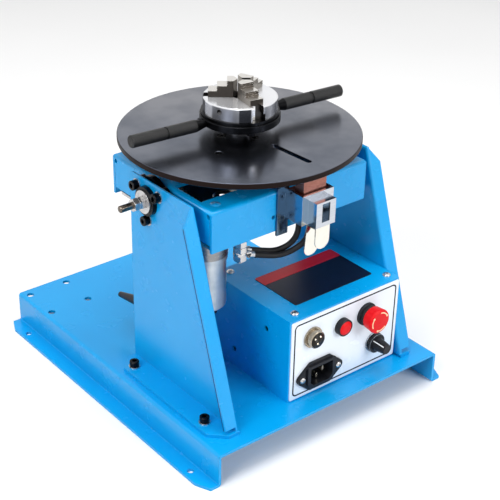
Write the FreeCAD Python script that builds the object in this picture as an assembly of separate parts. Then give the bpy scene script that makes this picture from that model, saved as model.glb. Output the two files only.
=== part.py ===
"""Bench welding positioner: a tilting turntable with a lever-scroll chuck on a bent-sheet stand.

Millimetres.  X runs to the right across the front, Y to the rear and Z up.  The origin is the
centre of the four base bolt holes, on the underside of the base plate.
"""
import FreeCAD
import Part
import math
import os

Vec = FreeCAD.Vector
X_AXIS = Vec(1, 0, 0)
Y_AXIS = Vec(0, 1, 0)
Z_AXIS = Vec(0, 0, 1)
ORIGIN = Vec(0, 0, 0)

# ---- clearances -----------------------------------------------------------------------------
RUNNING_FIT = 0.05        # radial gap of a shaft in its bore
TAPPED_FIT = 0.05         # radial gap of a screw in its tapped hole
SLIDE_GAP = 0.15          # side gap of a sliding piece in its guide
HOLE_GAP = 0.25           # radial gap of a screw in its clearance hole
BODY_GAP = 0.3            # gap between faces that pass each other

# ---- base plate, a bent hat of sheet --------------------------------------------------------
BASE_SHEET = 2.5
BASE_LENGTH = 314.0
BASE_WIDTH = 245.0
BASE_HEIGHT = 31.0
BASE_FLANGE = 14.0        # from the wall to the flange's edge
BEND_OUTER = 3.0
BEND_INNER = 0.6
FLANGE_CHAMFER_X = 6.0
FLANGE_CHAMFER_Y = 13.4
BASE_BOLT_X = 130.0
BASE_BOLT_Y = 129.0
BASE_BOLT_R = 2.75
TORCH_HOLES_X = -95.0     # centre of the torch stand's hole pattern
TORCH_HOLES_Y = 128.0
TORCH_SPACING_X = 40.0
TORCH_SPACING_Y = 39.0
TORCH_HOLE_R = 3.3

# ---- side supports --------------------------------------------------------------------------
SUPPORT_SHEET = 3.0
SUPPORT_OUTER_X = 94.0
SUPPORT_TOP_Z = 213.0
SUPPORT_REAR_Y = 1.0
SUPPORT_TOP_DEPTH = 84.4
SUPPORT_FOOT_DEPTH = 145.0
SUPPORT_CORNER_R = 4.0
SUPPORT_BEND = 2.5
FRONT_FLANGE = 10.0
FRONT_FLANGE_TAPER = 14.8
FRONT_FLANGE_RELIEF = 4.0
FOOT_FLANGE = 21.0
FOOT_CHAMFER = 13.0
FOOT_SCREW_X = 106.5
FOOT_SCREW_INSET_FRONT = 27.0
FOOT_SCREW_INSET_REAR = 17.0

# ---- tilt axis: hubs on the supports and trunnions on the cradle ----------------------------
PIVOT_Y = -24.5
PIVOT_Z = 195.5
HUB_FLANGE = 5.0
HUB_FLANGE_R = 19.5
HUB_LOBE_R = 6.5
HUB_SCREW_R = 17.5        # radius of the hub screws' circle
HUB_BOSS_R = 12.5
HUB_BOSS_PROUD = 4.0
TRUNNION_R = 6.0
TRUNNION_COLLAR_R = 14.0
TRUNNION_THREAD_R = 3.0
TRUNNION_THREAD = 23.8
TRUNNION_JAM_THREAD = 5.4
TRUNNION_WASHER_R = 10.0
TRUNNION_WASHER = 1.6
TRUNNION_NUT_FLATS = 10.0
TRUNNION_NUT = 5.0
JAM_NUT_FLATS = 18.0

# ---- cradle tray and motor plate ------------------------------------------------------------
TRAY_SHEET = 2.5
TRAY_WIDTH = 164.0
TRAY_DEPTH = 138.0
TRAY_TOP_Z = 208.5
TRAY_END_SKIRT = 36.5     # height of the front and rear skirts
TRAY_SIDE_SKIRT = 30.5
TRAY_SEAM = 0.5
TRAY_RELIEF_R = 2.0
SKIRT_HOLE_X = -19.2
SKIRT_HOLE_DROP = 23.3    # below the tray's top
SKIRT_HOLE_R = 1.8
MOTOR_PLATE = 2.5
MOTOR_PLATE_DROP = 32.0   # clear height between the tray and the motor plate
MOTOR_PLATE_MARGIN = 1.0
PILLAR_INSET_X = 12.0
PILLAR_INSET_Y = 11.0
PILLAR_FLATS = 8.0

# ---- turntable and spindle ------------------------------------------------------------------
TABLE_R = 102.5
TABLE_THICK = 5.0
TABLE_TOP_Z = 232.5
TABLE_BORE_R = 8.2
SLOT_ANGLE = -86.0
SLOT_START = 38.6
SLOT_END = 83.4
SLOT_WIDTH = 5.2
SPINDLE_R = 10.0
SPINDLE_FLANGE_R = 26.0
SPINDLE_FLANGE = 5.5
SPINDLE_TAIL = 36.0       # spindle length below the tray's top
TABLE_SCREW_CIRCLE = 19.0
LOCK_SCREW_CIRCLE = 49.2
LOCK_SCREW_ANGLE = -148.7
HOUSING_FLANGE_R = 34.0
HOUSING_FLANGE = 5.0
HOUSING_R = 21.0
HOUSING_HEIGHT = 24.0
BEARING_R = 16.0
BEARING = 9.0
HOUSING_SCREW_CIRCLE = 28.0

# ---- drive ----------------------------------------------------------------------------------
GEAR_MODULE = 1.5
GEAR_TEETH = 70
PINION_TEETH = 18
PRESSURE_ANGLE = 20.0
BACKLASH = 0.25
GEAR_FACE = 7.0
PINION_FACE = 10.0
GEAR_HUB_R = 17.0
GEAR_HUB = 3.0
GEAR_WEB = 3.0
MOTOR_ANGLE = 207.7       # direction from the spindle to the motor, seen from above
MOTOR_SHAFT_R = 3.0
MOTOR_SHAFT_IN = 12.0
GEARBOX_R = 18.5
GEARBOX = 21.5
GEARBOX_BOSS_R = 6.0
MOTOR_RING_R = 18.0
MOTOR_RING = 4.0
MOTOR_CAN_R = 17.0
MOTOR_CAN = 46.0
BOOT_R = 4.2
BOOT = 12.0
BOOT_SPACING = 17.0

# ---- tilt handle ----------------------------------------------------------------------------
HANDLE_X = -73.4
HANDLE_ROD_R = 3.0
HANDLE_TIP_Y = 54.8
HANDLE_TIP_Z = 61.6
HANDLE_DROP = 13.0        # downward slope of the grip, degrees
HANDLE_GRIP = 64.0
HANDLE_GRIP_R = 5.0
HANDLE_TIP_R = 2.6
HANDLE_BEND = 14.0

# ---- chuck ----------------------------------------------------------------------------------
CHUCK_SCREW_CIRCLE = 18.5
CHUCK_LIFT = 10.5         # from the table to the scroll ring
CHUCK_FLANGE = 4.0
CHUCK_STUD = 20.0
CHUCK_FLANGE_R = 24.0
CHUCK_NECK_R = 13.0
CHUCK_SLEEVE_R = 14.0
CHUCK_BODY_R = 31.2
CHUCK_BODY = 12.1
CHUCK_BORE_R = 8.0
SCROLL_R = 33.8
SCROLL_LIP_R = 32.6
SCROLL_GROOVE_R = 31.8
SCROLL_THICK = 8.85
SCROLL_LIP = 1.9
SCROLL_GROOVE = 0.9
KEY_ANGLE = -161.6
KEY_DROP = 4.9            # below the chuck's face
KEY_R = 2.25
JAW_WIDTH = 12.0
JAW_NECK = 8.0
JAW_FOOT = 5.5
JAW_TIP = 2.5             # distance of the jaws' tips from the axis
JAW_STEPS = ((11.0, 14.1), (19.2, 9.6), (26.5, 5.2))   # outer end of each step and its rise
JAW_GROOVE = 0.8          # depth and width of the grip grooves
JAW_GROOVE_LEVELS = (0.4, 0.8)
JAW_ANGLES = (-98.6, 21.4, 141.4)
LEVER_ANGLES = (-5.0, 175.0)
LEVER_R = 5.25
LEVER_NECK_R = 2.9
LEVER_SPIGOT_R = 2.5
LEVER_SPIGOT = 8.0
LEVER_START = 44.0
LEVER_TIP = 104.0
LEVER_GROOVE = 72.0
LEVER_RISE = 3.1          # bar axis above the scroll ring's underside
STOP_PIN_ANGLE = 162.0
STOP_PIN_R = 1.4

# ---- earth brush ----------------------------------------------------------------------------
BRUSH_X = 9.2
BRUSH_WIDTH = 24.0
BRUSH_THICK = 11.5
BRUSH_LENGTH = 31.0
BRUSH_TRAVEL = 4.0
HOLDER_SHEET = 2.0
HOLDER_WIDTH = 33.2
HOLDER_DEPTH = 19.2
HOLDER_HEIGHT = 26.0
HOLDER_TOP_Z = 208.0
WING = 9.5
WING_HEIGHT = 43.0
WING_RISE = 3.0
POCKET_SHEET = 1.5
POCKET_WIDTH = 20.5
POCKET_DEPTH = 10.1
POCKET_HEIGHT = 22.0
POCKET_SLOT = 8.2
POCKET_HEAD = 1.8         # metal left above the window
SLEEVE_SUNK = 0.6         # sleeve top below the rim of its holder
CLIP_SHEET = 1.0
CLIP_WIDTH = 15.0
CLIP_FRONT = 20.0
CLIP_REAR = 32.0
CLIP_LEAN = 5.5           # rearward slope of the rear tongue, degrees
SPRING_R = 4.2
SPRING_WIRE_R = 0.6
SPRING_TURNS = 5
STUD_OFFSET = 58.2        # from the brush, to the left
STUD_INSET = 5.5          # behind the tray's front face
STUD_R = 3.0
STUD_LENGTH = 19.5
LUG_RING_R = 5.6
LUG_SHEET = 1.2
LUG_BARREL_R = 3.0
LUG_BARREL = 4.6
LUG_DROP = 11.5           # from the motor plate down to the lugs
FERRULE_R = 3.0
FERRULE = 8.0
PIGTAIL_R = 2.5
# routes, measured from the middle of the holder's back at its underside
PIGTAIL_A = ((-44.6, 9.9, -25.4), (-33.2, 8.9, -29.6), (-20.5, 5.1, -32.6), (-10.0, -1.1, -27.0),
             (-6.4, -6.5, -15.0), (-6.4, -6.5, -5.0))
PIGTAIL_B = ((-46.2, 3.3, -26.6), (-35.2, 2.5, -30.6), (-20.4, -0.5, -34.4), (-8.3, -6.7, -29.2),
             (-0.9, -13.3, -18.3), (-0.9, -13.3, -5.0))

# ---- control box ----------------------------------------------------------------------------
BOX_SHEET = 1.5
BOX_WIDTH = 123.5
BOX_DEPTH = 103.0
BOX_HEIGHT = 79.4
BOX_FRONT_Y = -135.0
BOX_SIDE_GAP = 0.5        # between the box and the right support
LID_SHEET = 1.2
LID_TAB = 14.0
LID_SCREW_X_LEFT = 12.0
LID_SCREW_X_RIGHT = 7.0
LID_SCREW_Y = 9.0
PANEL_SHEET = 1.0
PANEL_WIDTH = 121.0
PANEL_HEIGHT = 76.5
CABLE_HOLES = ((-105.0, 90.0), (-63.0, 48.0))
CABLE_HOLE_R = 2.5
BOX_SCREW_INSET = 14.0

# ---- fittings on the panel: centres (x, z) and sizes ----------------------------------------
INLET_X = 0.0
INLET_Z = 50.5
INLET_PITCH = 40.0
INLET_FLANGE_W = 56.0     # between the sharp corners of its ears
INLET_FLANGE_H = 26.8
INLET_FLAT = 11.5         # half the straight run along its top
INLET_EAR_R = 5.0
INLET_FLANGE = 2.5
INLET_W = 27.0
INLET_H = 20.0
INLET_DEPTH = 16.0
INLET_WALL = 1.3
INLET_COLLAR = 1.8        # raised rim round the mouth
INLET_COLLAR_W = 31.0
INLET_COLLAR_H = 22.4
INLET_CLIP = 3.5
INLET_BLADES = ((-7.0, -1.0), (0.0, -5.6), (7.0, -1.0))
BLADE_W = 2.0
BLADE_H = 4.0
BLADE_L = 11.0
SOCKET_X = -9.0
SOCKET_Z = 88.6
SOCKET_FLANGE_R = 9.5
SOCKET_R = 7.8
SOCKET_BORE_R = 6.4
SOCKET_PROUD = 7.0
LAMP_X = 23.7
LAMP_Z = 86.9
LAMP_R = 7.8
LAMP_LENS_R = 6.4
LAMP_PROUD = 6.5
STOP_X = 51.8
STOP_Z = 88.4
STOP_COLLAR_R = 10.5
STOP_COLLAR = 2.5
STOP_HEAD_R = 11.2
STOP_SKIRT_R = 10.3
STOP_STEM_R = 4.5
STOP_PROUD = 17.5
STOP_TRAVEL = 4.0
STOP_BLOCK = 18.0
STOP_BLOCK_DEPTH = 26.0
DIAL_X = 63.0
DIAL_Z = 55.9
DIAL_SKIRT_R = 9.0
DIAL_SKIRT = 2.5
DIAL_R = 6.4
DIAL_TOP_R = 4.6
DIAL_PROUD = 17.6
DIAL_SHAFT_R = 3.0
DIAL_NUT_FLATS = 10.0
DIAL_NUT = 2.2
DIAL_POT_R = 8.5
DIAL_POT = 10.0

# ---- electronics in the box -----------------------------------------------------------------
SUPPLY_WIDTH = 48.0
SUPPLY_DEPTH = 38.0
SUPPLY_HEIGHT = 30.0
SUPPLY_INSET_X = 48.0
SUPPLY_INSET_Y = 43.0
SUPPLY_EAR = 6.0
SUPPLY_EAR_THICK = 2.0
BOARD_WIDTH = 40.0
BOARD_DEPTH = 48.0
BOARD = 1.6
BOARD_INSET_X = 26.0
BOARD_INSET_Y = 48.0
BOARD_POST = 6.0
BOARD_POST_R = 2.5
BOARD_POST_INSET = 4.0
# parts on the board: place and size as shares of its width and depth
BOARD_CHIPS = ((-0.2, -0.1, 0.3, 0.25, 0.06), (0.24, -0.12, 0.32, 0.42, 0.36), (-0.2, 0.29, 0.25, 0.2, 0.35))

# ---- fasteners: thread radius, head radius, head height, key size ---------------------------
M3 = (1.5, 2.75, 3.0, 2.5)
M4 = (2.0, 3.5, 4.0, 3.0)
M5 = (2.5, 4.25, 5.0, 4.0)
WASHER_R = 5.0
WASHER = 1.0
M5_NUT_FLATS = 8.0
M5_NUT = 4.0

# ---- places worked out from the sizes above -------------------------------------------------
PIVOT = Vec(0, PIVOT_Y, PIVOT_Z)
SUPPORT_INNER_X = SUPPORT_OUTER_X - SUPPORT_SHEET
SUPPORT_FOOT_FRONT = SUPPORT_REAR_Y - SUPPORT_FOOT_DEPTH
SUPPORT_TOP_FRONT = SUPPORT_REAR_Y - SUPPORT_TOP_DEPTH
FOOT_TOP_Z = BASE_HEIGHT + SUPPORT_SHEET
HUB_FACE_X = SUPPORT_INNER_X - HUB_FLANGE
BOSS_FACE_X = SUPPORT_OUTER_X + HUB_BOSS_PROUD
TRAY_SIDE_X = TRAY_WIDTH / 2
TRAY_FRONT_Y = PIVOT_Y - TRAY_DEPTH / 2
TRAY_REAR_Y = PIVOT_Y + TRAY_DEPTH / 2
TRAY_UNDER_Z = TRAY_TOP_Z - TRAY_SHEET
PILLAR_X = TRAY_SIDE_X - PILLAR_INSET_X
PILLAR_Y = TRAY_DEPTH / 2 - PILLAR_INSET_Y
MOTOR_PLATE_TOP = TRAY_UNDER_Z - MOTOR_PLATE_DROP
MOTOR_PLATE_UNDER = MOTOR_PLATE_TOP - MOTOR_PLATE
TABLE_UNDER_Z = TABLE_TOP_Z - TABLE_THICK
SPINDLE_TOP_Z = TABLE_UNDER_Z
SPINDLE_END_Z = TRAY_TOP_Z - SPINDLE_TAIL
GEAR_DISTANCE = GEAR_MODULE * (GEAR_TEETH + PINION_TEETH) / 2
MOTOR_X = GEAR_DISTANCE * math.cos(math.radians(MOTOR_ANGLE))
MOTOR_Y = PIVOT_Y + GEAR_DISTANCE * math.sin(math.radians(MOTOR_ANGLE))
HOUSING_END_Z = TRAY_TOP_Z + HOUSING_FLANGE - HOUSING_HEIGHT
GEAR_TOP_Z = HOUSING_END_Z - 2 * BODY_GAP
GEAR_RIM_TOP_Z = GEAR_TOP_Z - GEAR_HUB / 2
SCROLL_Z = TABLE_TOP_Z + CHUCK_LIFT + RUNNING_FIT
CHUCK_TOP_Z = TABLE_TOP_Z + CHUCK_LIFT + SCROLL_THICK + 2 * RUNNING_FIT + CHUCK_BODY
JAW_FLOOR_Z = CHUCK_TOP_Z - CHUCK_BODY
LEVER_Z = SCROLL_Z + LEVER_RISE
PANEL_Y = BOX_FRONT_Y - PANEL_SHEET
BOX_RIGHT_X = SUPPORT_INNER_X - BOX_SIDE_GAP
BOX_LEFT_X = BOX_RIGHT_X - BOX_WIDTH
BOX_REAR_Y = BOX_FRONT_Y + BOX_DEPTH
BOX_TOP_Z = BASE_HEIGHT + BOX_HEIGHT
LID_Z = BOX_TOP_Z - LID_SHEET
BOX_MID_X = (BOX_LEFT_X + BOX_RIGHT_X) / 2
HOLDER_BACK_Y = TRAY_FRONT_Y
HOLDER_FRONT_Y = HOLDER_BACK_Y - HOLDER_SHEET - HOLDER_DEPTH
HOLDER_UNDER_Z = HOLDER_TOP_Z - HOLDER_HEIGHT
BRUSH_Y = HOLDER_FRONT_Y + HOLDER_SHEET + 2.0 + BRUSH_THICK / 2
BRUSH_TOP_Z = TABLE_UNDER_Z - BODY_GAP
BRUSH_UNDER_Z = BRUSH_TOP_Z - BRUSH_LENGTH
STUD_X = BRUSH_X - STUD_OFFSET
STUD_Y = TRAY_FRONT_Y + STUD_INSET
LUG_Z = MOTOR_PLATE_UNDER - LUG_DROP

NODES = {}
CRADLE_SCREWS = []         # M4 screws of the cradle, kept together in one node
CRADLE_NUTS = []           # its nuts, likewise
TABLE_SCREWS = []          # screws of the turntable and of the chuck's hub
CONTACT_PINS = []          # the blades and pins of the two inlets


# ---- building blocks ------------------------------------------------------------------------
def box(x0, x1, y0, y1, z0, z1):
    return Part.makeBox(x1 - x0, y1 - y0, z1 - z0, Vec(x0, y0, z0))


def rod(start, axis, radius, length):
    return Part.makeCylinder(radius, length, start, axis)


def cone(start, axis, radius, end_radius, length):
    return Part.makeCone(radius, end_radius, length, start, axis)


def tube(start, axis, radius, bore, length):
    return rod(start, axis, radius, length).cut(rod(start, axis, bore, length))


def fuse(pieces):
    shape = pieces[0].fuse(pieces[1:])
    return shape.removeSplitter()


def face_through(corners, place):
    """A flat face whose outline passes through corners (u, v, corner radius)."""
    edges = []
    ends = []
    count = len(corners)
    for index, (u, v, radius) in enumerate(corners):
        here = Vec(u, v, 0)
        if radius == 0:
            ends.append((here, here, here))
            continue
        before = Vec(*corners[index - 1][:2], 0) - here
        after = Vec(*corners[(index + 1) % count][:2], 0) - here
        half = before.getAngle(after) / 2
        before.normalize()
        after.normalize()
        reach = radius / math.tan(half)
        middle = before + after
        middle.normalize()
        bulge = here + middle * (radius / math.sin(half) - radius)
        ends.append((here + before * reach, bulge, here + after * reach))
    for index, (start, bulge, end) in enumerate(ends):
        if start != end:
            edges.append(Part.Arc(place(start), place(bulge), place(end)).toShape())
        following = ends[(index + 1) % count][0]
        if end.distanceToPoint(following) > 1e-6:
            edges.append(Part.makeLine(place(end), place(following)))
    return Part.Face(Part.Wire(edges))


def plate_xy(corners, z0, z1):
    return face_through(corners, lambda p: Vec(p.x, p.y, z0)).extrude(Vec(0, 0, z1 - z0))


def plate_xz(corners, y0, y1):
    return face_through(corners, lambda p: Vec(p.x, y0, p.y)).extrude(Vec(0, y1 - y0, 0))


def plate_yz(corners, x0, x1):
    return face_through(corners, lambda p: Vec(x0, p.x, p.y)).extrude(Vec(x1 - x0, 0, 0))


def rectangle(u, v, width, height, radius=0.0):
    return [(u - width / 2, v - height / 2, radius), (u + width / 2, v - height / 2, radius),
            (u + width / 2, v + height / 2, radius), (u - width / 2, v + height / 2, radius)]


def turned(profile, start, axis):
    """A solid of revolution from (radius, height) points, its base centre at start."""
    corners = [(radius, height, 0) for radius, height in profile]
    face = face_through(corners, lambda p: Vec(p.x, 0, p.y))
    solid = face.revolve(ORIGIN, Z_AXIS, 360)
    turn = FreeCAD.Rotation(Z_AXIS, axis)
    solid.Placement = FreeCAD.Placement(start, turn).multiply(solid.Placement)
    return solid


def mirrored(shape):
    return shape.mirror(ORIGIN, X_AXIS)


def about_z(shape, degrees, y=PIVOT_Y):
    return shape.rotated(Vec(0, y, 0), Z_AXIS, degrees)


def hexagon(start, axis, flats, length):
    """A hexagonal prism with lightly turned corners."""
    radius = flats / math.sqrt(3)
    points = [Vec(radius * math.cos(math.radians(a)), radius * math.sin(math.radians(a)), 0)
              for a in range(0, 361, 60)]
    prism = Part.Face(Part.makePolygon(points)).extrude(Vec(0, 0, length))
    prism.Placement = FreeCAD.Placement(start, FreeCAD.Rotation(Z_AXIS, axis))
    return prism


def nut(start, axis, flats, length, bore):
    blank = hexagon(start, axis, flats, length)
    corner = 0.52 * flats
    turned_blank = turned([(0, 0), (corner, 0), (corner + 0.5, 0.5), (corner + 0.5, length - 0.5),
                           (corner, length), (0, length)], start, axis)
    return blank.common(turned_blank).cut(rod(start, axis, bore, length))


def cap_screw(seat, axis, size, length):
    """A socket cap screw: its head stands on the seat along axis, its shank runs the other way."""
    thread, head, height, key = size
    back = axis * -1
    screw = turned([(0, -length), (thread, -length), (thread, 0), (head, 0), (head, height - 0.4),
                    (head - 0.4, height), (0, height)], seat, axis)
    return screw.cut(hexagon(seat + axis * height, back, key, height * 0.6))


def pan_screw(seat, axis, size, length):
    """A domed screw with a cross recess in its head."""
    thread, head, height, key = size
    rise = 0.6 * head
    screw = turned([(0, -length), (thread, -length), (thread, 0), (head, 0), (head, 0.4 * rise),
                    (0.75 * head, 0.85 * rise), (0.3 * head, rise), (0, rise)], seat, axis)
    arm = 0.5 * key
    cross = fuse([box(-arm, arm, -0.3, 0.3, 0.5 * rise, rise + 1), box(-0.3, 0.3, -arm, arm, 0.5 * rise, rise + 1)])
    cross.Placement = FreeCAD.Placement(seat, FreeCAD.Rotation(Z_AXIS, axis))
    return screw.cut(cross)


def flush_screw(surface, size, length, axis=Z_AXIS):
    """A countersunk screw whose head lies just under a surface that faces along axis."""
    thread, head, height, key = size
    top = surface - axis * 0.1
    rim = head - 0.2
    screw = turned([(0, -length), (thread, -length), (thread, thread - rim), (rim, 0), (0, 0)], top, axis)
    return screw.cut(hexagon(top, axis * -1, key * 0.8, 1.3))


def sunk_holes(shape, centres, size, depth, axis=Z_AXIS):
    """Countersunk clearance holes, cut from centres on a surface that faces along axis."""
    bore = size[0] + HOLE_GAP
    under = [centre - axis * depth for centre in centres]
    shape = holes(shape, under, axis, bore, depth)
    slope = size[1] - bore
    return shape.cut([cone(centre - axis * slope, axis, bore, size[1], slope) for centre in centres])


def holes(shape, centres, axis, radius, length):
    """Cuts round holes that start half a millimetre before each centre."""
    drills = [rod(centre - axis * 0.5, axis, radius, length + 1.0) for centre in centres]
    return shape.cut(drills)


def bent_path(points):
    """Straight runs joined by tangent arcs; returns the wire and the radii of its arcs."""
    route = points
    edges = []
    radii = []
    here = route[0]
    for before, corner, after in zip(route, route[1:], route[2:]):
        back = before - corner
        ahead = after - corner
        turn = math.pi - back.getAngle(ahead)
        reach = 0.45 * min(back.Length, ahead.Length)
        radius = reach / math.tan(turn / 2)
        back.normalize()
        ahead.normalize()
        middle = back + ahead
        middle.normalize()
        start = corner + back * reach
        end = corner + ahead * reach
        bulge = corner + middle * (radius / math.cos(turn / 2) - radius)
        edges.append(Part.LineSegment(here, start).toShape())
        edges.append(Part.Arc(start, bulge, end).toShape())
        radii.append(radius)
        here = end
    edges.append(Part.LineSegment(here, route[-1]).toShape())
    return Part.Wire(edges), radii


def swept(wire, start, direction, radius):
    section = Part.Wire(Part.makeCircle(radius, start, direction))
    return wire.makePipeShell([section], True, True)


def cord(points, radius):
    wire, radii = bent_path(points)
    shape = swept(wire, points[0], points[1] - points[0], radius)
    expected = math.pi * radius ** 2 * wire.Length
    print("cord length", round(wire.Length, 1), "radii", [round(r, 1) for r in radii],
          "volume ratio", round(shape.Volume / expected, 4))
    return shape


# ---- base and supports ----------------------------------------------------------------------
def foot_screw_points():
    rows = (SUPPORT_FOOT_FRONT + FOOT_SCREW_INSET_FRONT, SUPPORT_REAR_Y - FOOT_SCREW_INSET_REAR)
    return [Vec(side * FOOT_SCREW_X, y, FOOT_TOP_Z) for side in (-1, 1) for y in rows]


def box_screw_points():
    columns = (BOX_LEFT_X + BOX_SCREW_INSET, BOX_RIGHT_X - BOX_SCREW_INSET)
    rows = (BOX_FRONT_Y + 2 * BOX_SCREW_INSET, BOX_REAR_Y - BOX_SCREW_INSET)
    return [Vec(x, y, BASE_HEIGHT + BOX_SHEET) for x in columns for y in rows]


def make_base():
    wall = BASE_WIDTH / 2
    edge = wall + BASE_FLANGE
    inside = wall - BASE_SHEET
    profile = [(-edge, 0, 0), (-edge, BASE_SHEET, 0), (-wall, BASE_SHEET, BEND_INNER),
               (-wall, BASE_HEIGHT, BEND_OUTER), (wall, BASE_HEIGHT, BEND_OUTER),
               (wall, BASE_SHEET, BEND_INNER), (edge, BASE_SHEET, 0), (edge, 0, 0),
               (inside, 0, BEND_OUTER), (inside, BASE_HEIGHT - BASE_SHEET, BEND_INNER),
               (-inside, BASE_HEIGHT - BASE_SHEET, BEND_INNER), (-inside, 0, BEND_OUTER)]
    end = BASE_LENGTH / 2
    plate = plate_xz(profile, -end, end)
    for side in (-1, 1):
        for way in (-1, 1):
            corner = [(side * edge, way * end, 0), (side * (edge - FLANGE_CHAMFER_X), way * end, 0),
                      (side * edge, way * (end - FLANGE_CHAMFER_Y), 0)]
            plate = plate.cut(plate_xy(corner, 0, BASE_SHEET))
    bolts = [Vec(sx * BASE_BOLT_X, sy * BASE_BOLT_Y, 0) for sx in (-1, 1) for sy in (-1, 1)]
    plate = holes(plate, bolts, Z_AXIS, BASE_BOLT_R, BASE_SHEET)
    under_top = BASE_HEIGHT - BASE_SHEET
    torch = [Vec(TORCH_HOLES_X + sx * TORCH_SPACING_X / 2, TORCH_HOLES_Y + sy * TORCH_SPACING_Y / 2, under_top)
             for sx in (-1, 1) for sy in (-1, 1)]
    plate = holes(plate, torch, Z_AXIS, TORCH_HOLE_R, BASE_SHEET)
    feet = [Vec(p.x, p.y, under_top) for p in foot_screw_points()]
    plate = holes(plate, feet, Z_AXIS, M5[0] + HOLE_GAP, BASE_SHEET)
    box_holes = [Vec(p.x, p.y, under_top) for p in box_screw_points()]
    plate = holes(plate, box_holes, Z_AXIS, M4[0] + TAPPED_FIT, BASE_SHEET)
    NODES["base_plate"] = plate


def hub_screw_points(x):
    angles = (30.0, 150.0, 270.0)
    return [Vec(x, PIVOT_Y + HUB_SCREW_R * math.cos(math.radians(a)),
                PIVOT_Z + HUB_SCREW_R * math.sin(math.radians(a))) for a in angles]


def right_support():
    side = [(SUPPORT_REAR_Y, BASE_HEIGHT, 0), (SUPPORT_REAR_Y, SUPPORT_TOP_Z, SUPPORT_CORNER_R),
            (SUPPORT_TOP_FRONT, SUPPORT_TOP_Z, 1.5), (SUPPORT_FOOT_FRONT, BASE_HEIGHT, 0)]
    plate = plate_yz(side, SUPPORT_INNER_X, SUPPORT_OUTER_X)
    foot_edge = SUPPORT_OUTER_X + FOOT_FLANGE
    front = SUPPORT_FOOT_FRONT
    rear = SUPPORT_REAR_Y
    foot = plate_xy([(SUPPORT_INNER_X, rear, 0), (foot_edge - FOOT_CHAMFER, rear, 0),
                     (foot_edge, rear - FOOT_CHAMFER, 0), (foot_edge, front + FOOT_CHAMFER, 0),
                     (foot_edge - FOOT_CHAMFER, front, 0), (SUPPORT_INNER_X, front, 0)],
                    BASE_HEIGHT, FOOT_TOP_Z)
    top = Vec(0, SUPPORT_TOP_FRONT, SUPPORT_TOP_Z)
    down = Vec(0, front, BASE_HEIGHT) - top
    length = down.Length
    down.normalize()
    inward = Vec(0, -down.z, down.y)
    edge = SUPPORT_OUTER_X + FRONT_FLANGE
    relief = length - (SUPPORT_SHEET + FRONT_FLANGE_RELIEF)
    outline = [(SUPPORT_INNER_X, 1.5), (SUPPORT_OUTER_X, 1.5), (edge, FRONT_FLANGE_TAPER), (edge, relief),
               (SUPPORT_INNER_X, relief)]
    points = [top + down * s + X_AXIS * x for x, s in outline]
    flange = Part.Face(Part.makePolygon(points + points[:1])).extrude(inward * SUPPORT_SHEET)
    shape = fuse([plate, foot, flange])
    bend = [edge for edge in shape.Edges if is_bend(edge, down)]
    shape = shape.makeFillet(SUPPORT_BEND, bend)
    hub_hole = [Vec(SUPPORT_INNER_X, PIVOT_Y, PIVOT_Z)]
    shape = holes(shape, hub_hole, X_AXIS, HUB_BOSS_R + 2 * TAPPED_FIT, SUPPORT_SHEET)
    shape = holes(shape, hub_screw_points(SUPPORT_INNER_X), X_AXIS, M5[0] + HOLE_GAP, SUPPORT_SHEET)
    feet = [Vec(p.x, p.y, BASE_HEIGHT) for p in foot_screw_points() if p.x > 0]
    return holes(shape, feet, Z_AXIS, M5[0] + HOLE_GAP, SUPPORT_SHEET)


def is_bend(edge, down):
    """The outer edges of the bends into the foot flange and the front flange."""
    ends = [vertex.Point for vertex in edge.Vertexes]
    if len(ends) != 2 or edge.Length < SUPPORT_TOP_DEPTH:
        return False
    if any(abs(p.x - SUPPORT_INNER_X) > 0.01 for p in ends):
        return False
    along = ends[1] - ends[0]
    along.normalize()
    at_foot = all(abs(p.z - BASE_HEIGHT) < 0.01 for p in ends)
    sloped = abs(abs(along.dot(down)) - 1) < 1e-6
    return at_foot or sloped


def right_hub():
    inner = Vec(HUB_FACE_X, PIVOT_Y, PIVOT_Z)
    blank = [rod(inner, X_AXIS, HUB_FLANGE_R, HUB_FLANGE),
             rod(inner, X_AXIS, HUB_BOSS_R, BOSS_FACE_X - HUB_FACE_X)]
    blank += [rod(p, X_AXIS, HUB_LOBE_R, HUB_FLANGE) for p in hub_screw_points(HUB_FACE_X)]
    hub = fuse(blank)
    hub = hub.cut(rod(inner - X_AXIS, X_AXIS, TRUNNION_R + RUNNING_FIT, BOSS_FACE_X - HUB_FACE_X + 2))
    return holes(hub, hub_screw_points(HUB_FACE_X), X_AXIS, M5[0] + TAPPED_FIT, HUB_FLANGE)


def make_supports():
    support = right_support()
    NODES["right_support"] = support
    NODES["left_support"] = mirrored(support)
    hub = right_hub()
    NODES["trunnion_hubs"] = [hub, mirrored(hub)]
    hub_screws = []
    washers = []
    for side in (-1, 1):
        out = X_AXIS * side
        for point in hub_screw_points(side * SUPPORT_OUTER_X):
            washers.append(tube(point, out, WASHER_R, M5[0] + HOLE_GAP, WASHER))
            hub_screws.append(cap_screw(point + out * WASHER, out, M5, WASHER + SUPPORT_SHEET + HUB_FLANGE))
    foot_screws = []
    nuts = []
    grip = WASHER + SUPPORT_SHEET + BASE_SHEET + M5_NUT
    for point in foot_screw_points():
        washers.append(tube(point, Z_AXIS, WASHER_R, M5[0] + HOLE_GAP, WASHER))
        foot_screws.append(cap_screw(point + Z_AXIS * WASHER, Z_AXIS, M5, grip + 1.0))
        under = Vec(point.x, point.y, BASE_HEIGHT - BASE_SHEET - M5_NUT)
        nuts.append(nut(under, Z_AXIS, M5_NUT_FLATS, M5_NUT, M5[0] + TAPPED_FIT))
    NODES["m5_screws"] = hub_screws + foot_screws
    NODES["m5_washers"] = washers
    NODES["m5_nuts"] = nuts


# ---- cradle ---------------------------------------------------------------------------------
def pillar_points(z):
    return [Vec(sx * PILLAR_X, PIVOT_Y + sy * PILLAR_Y, z) for sx in (-1, 1) for sy in (-1, 1)]


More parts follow.
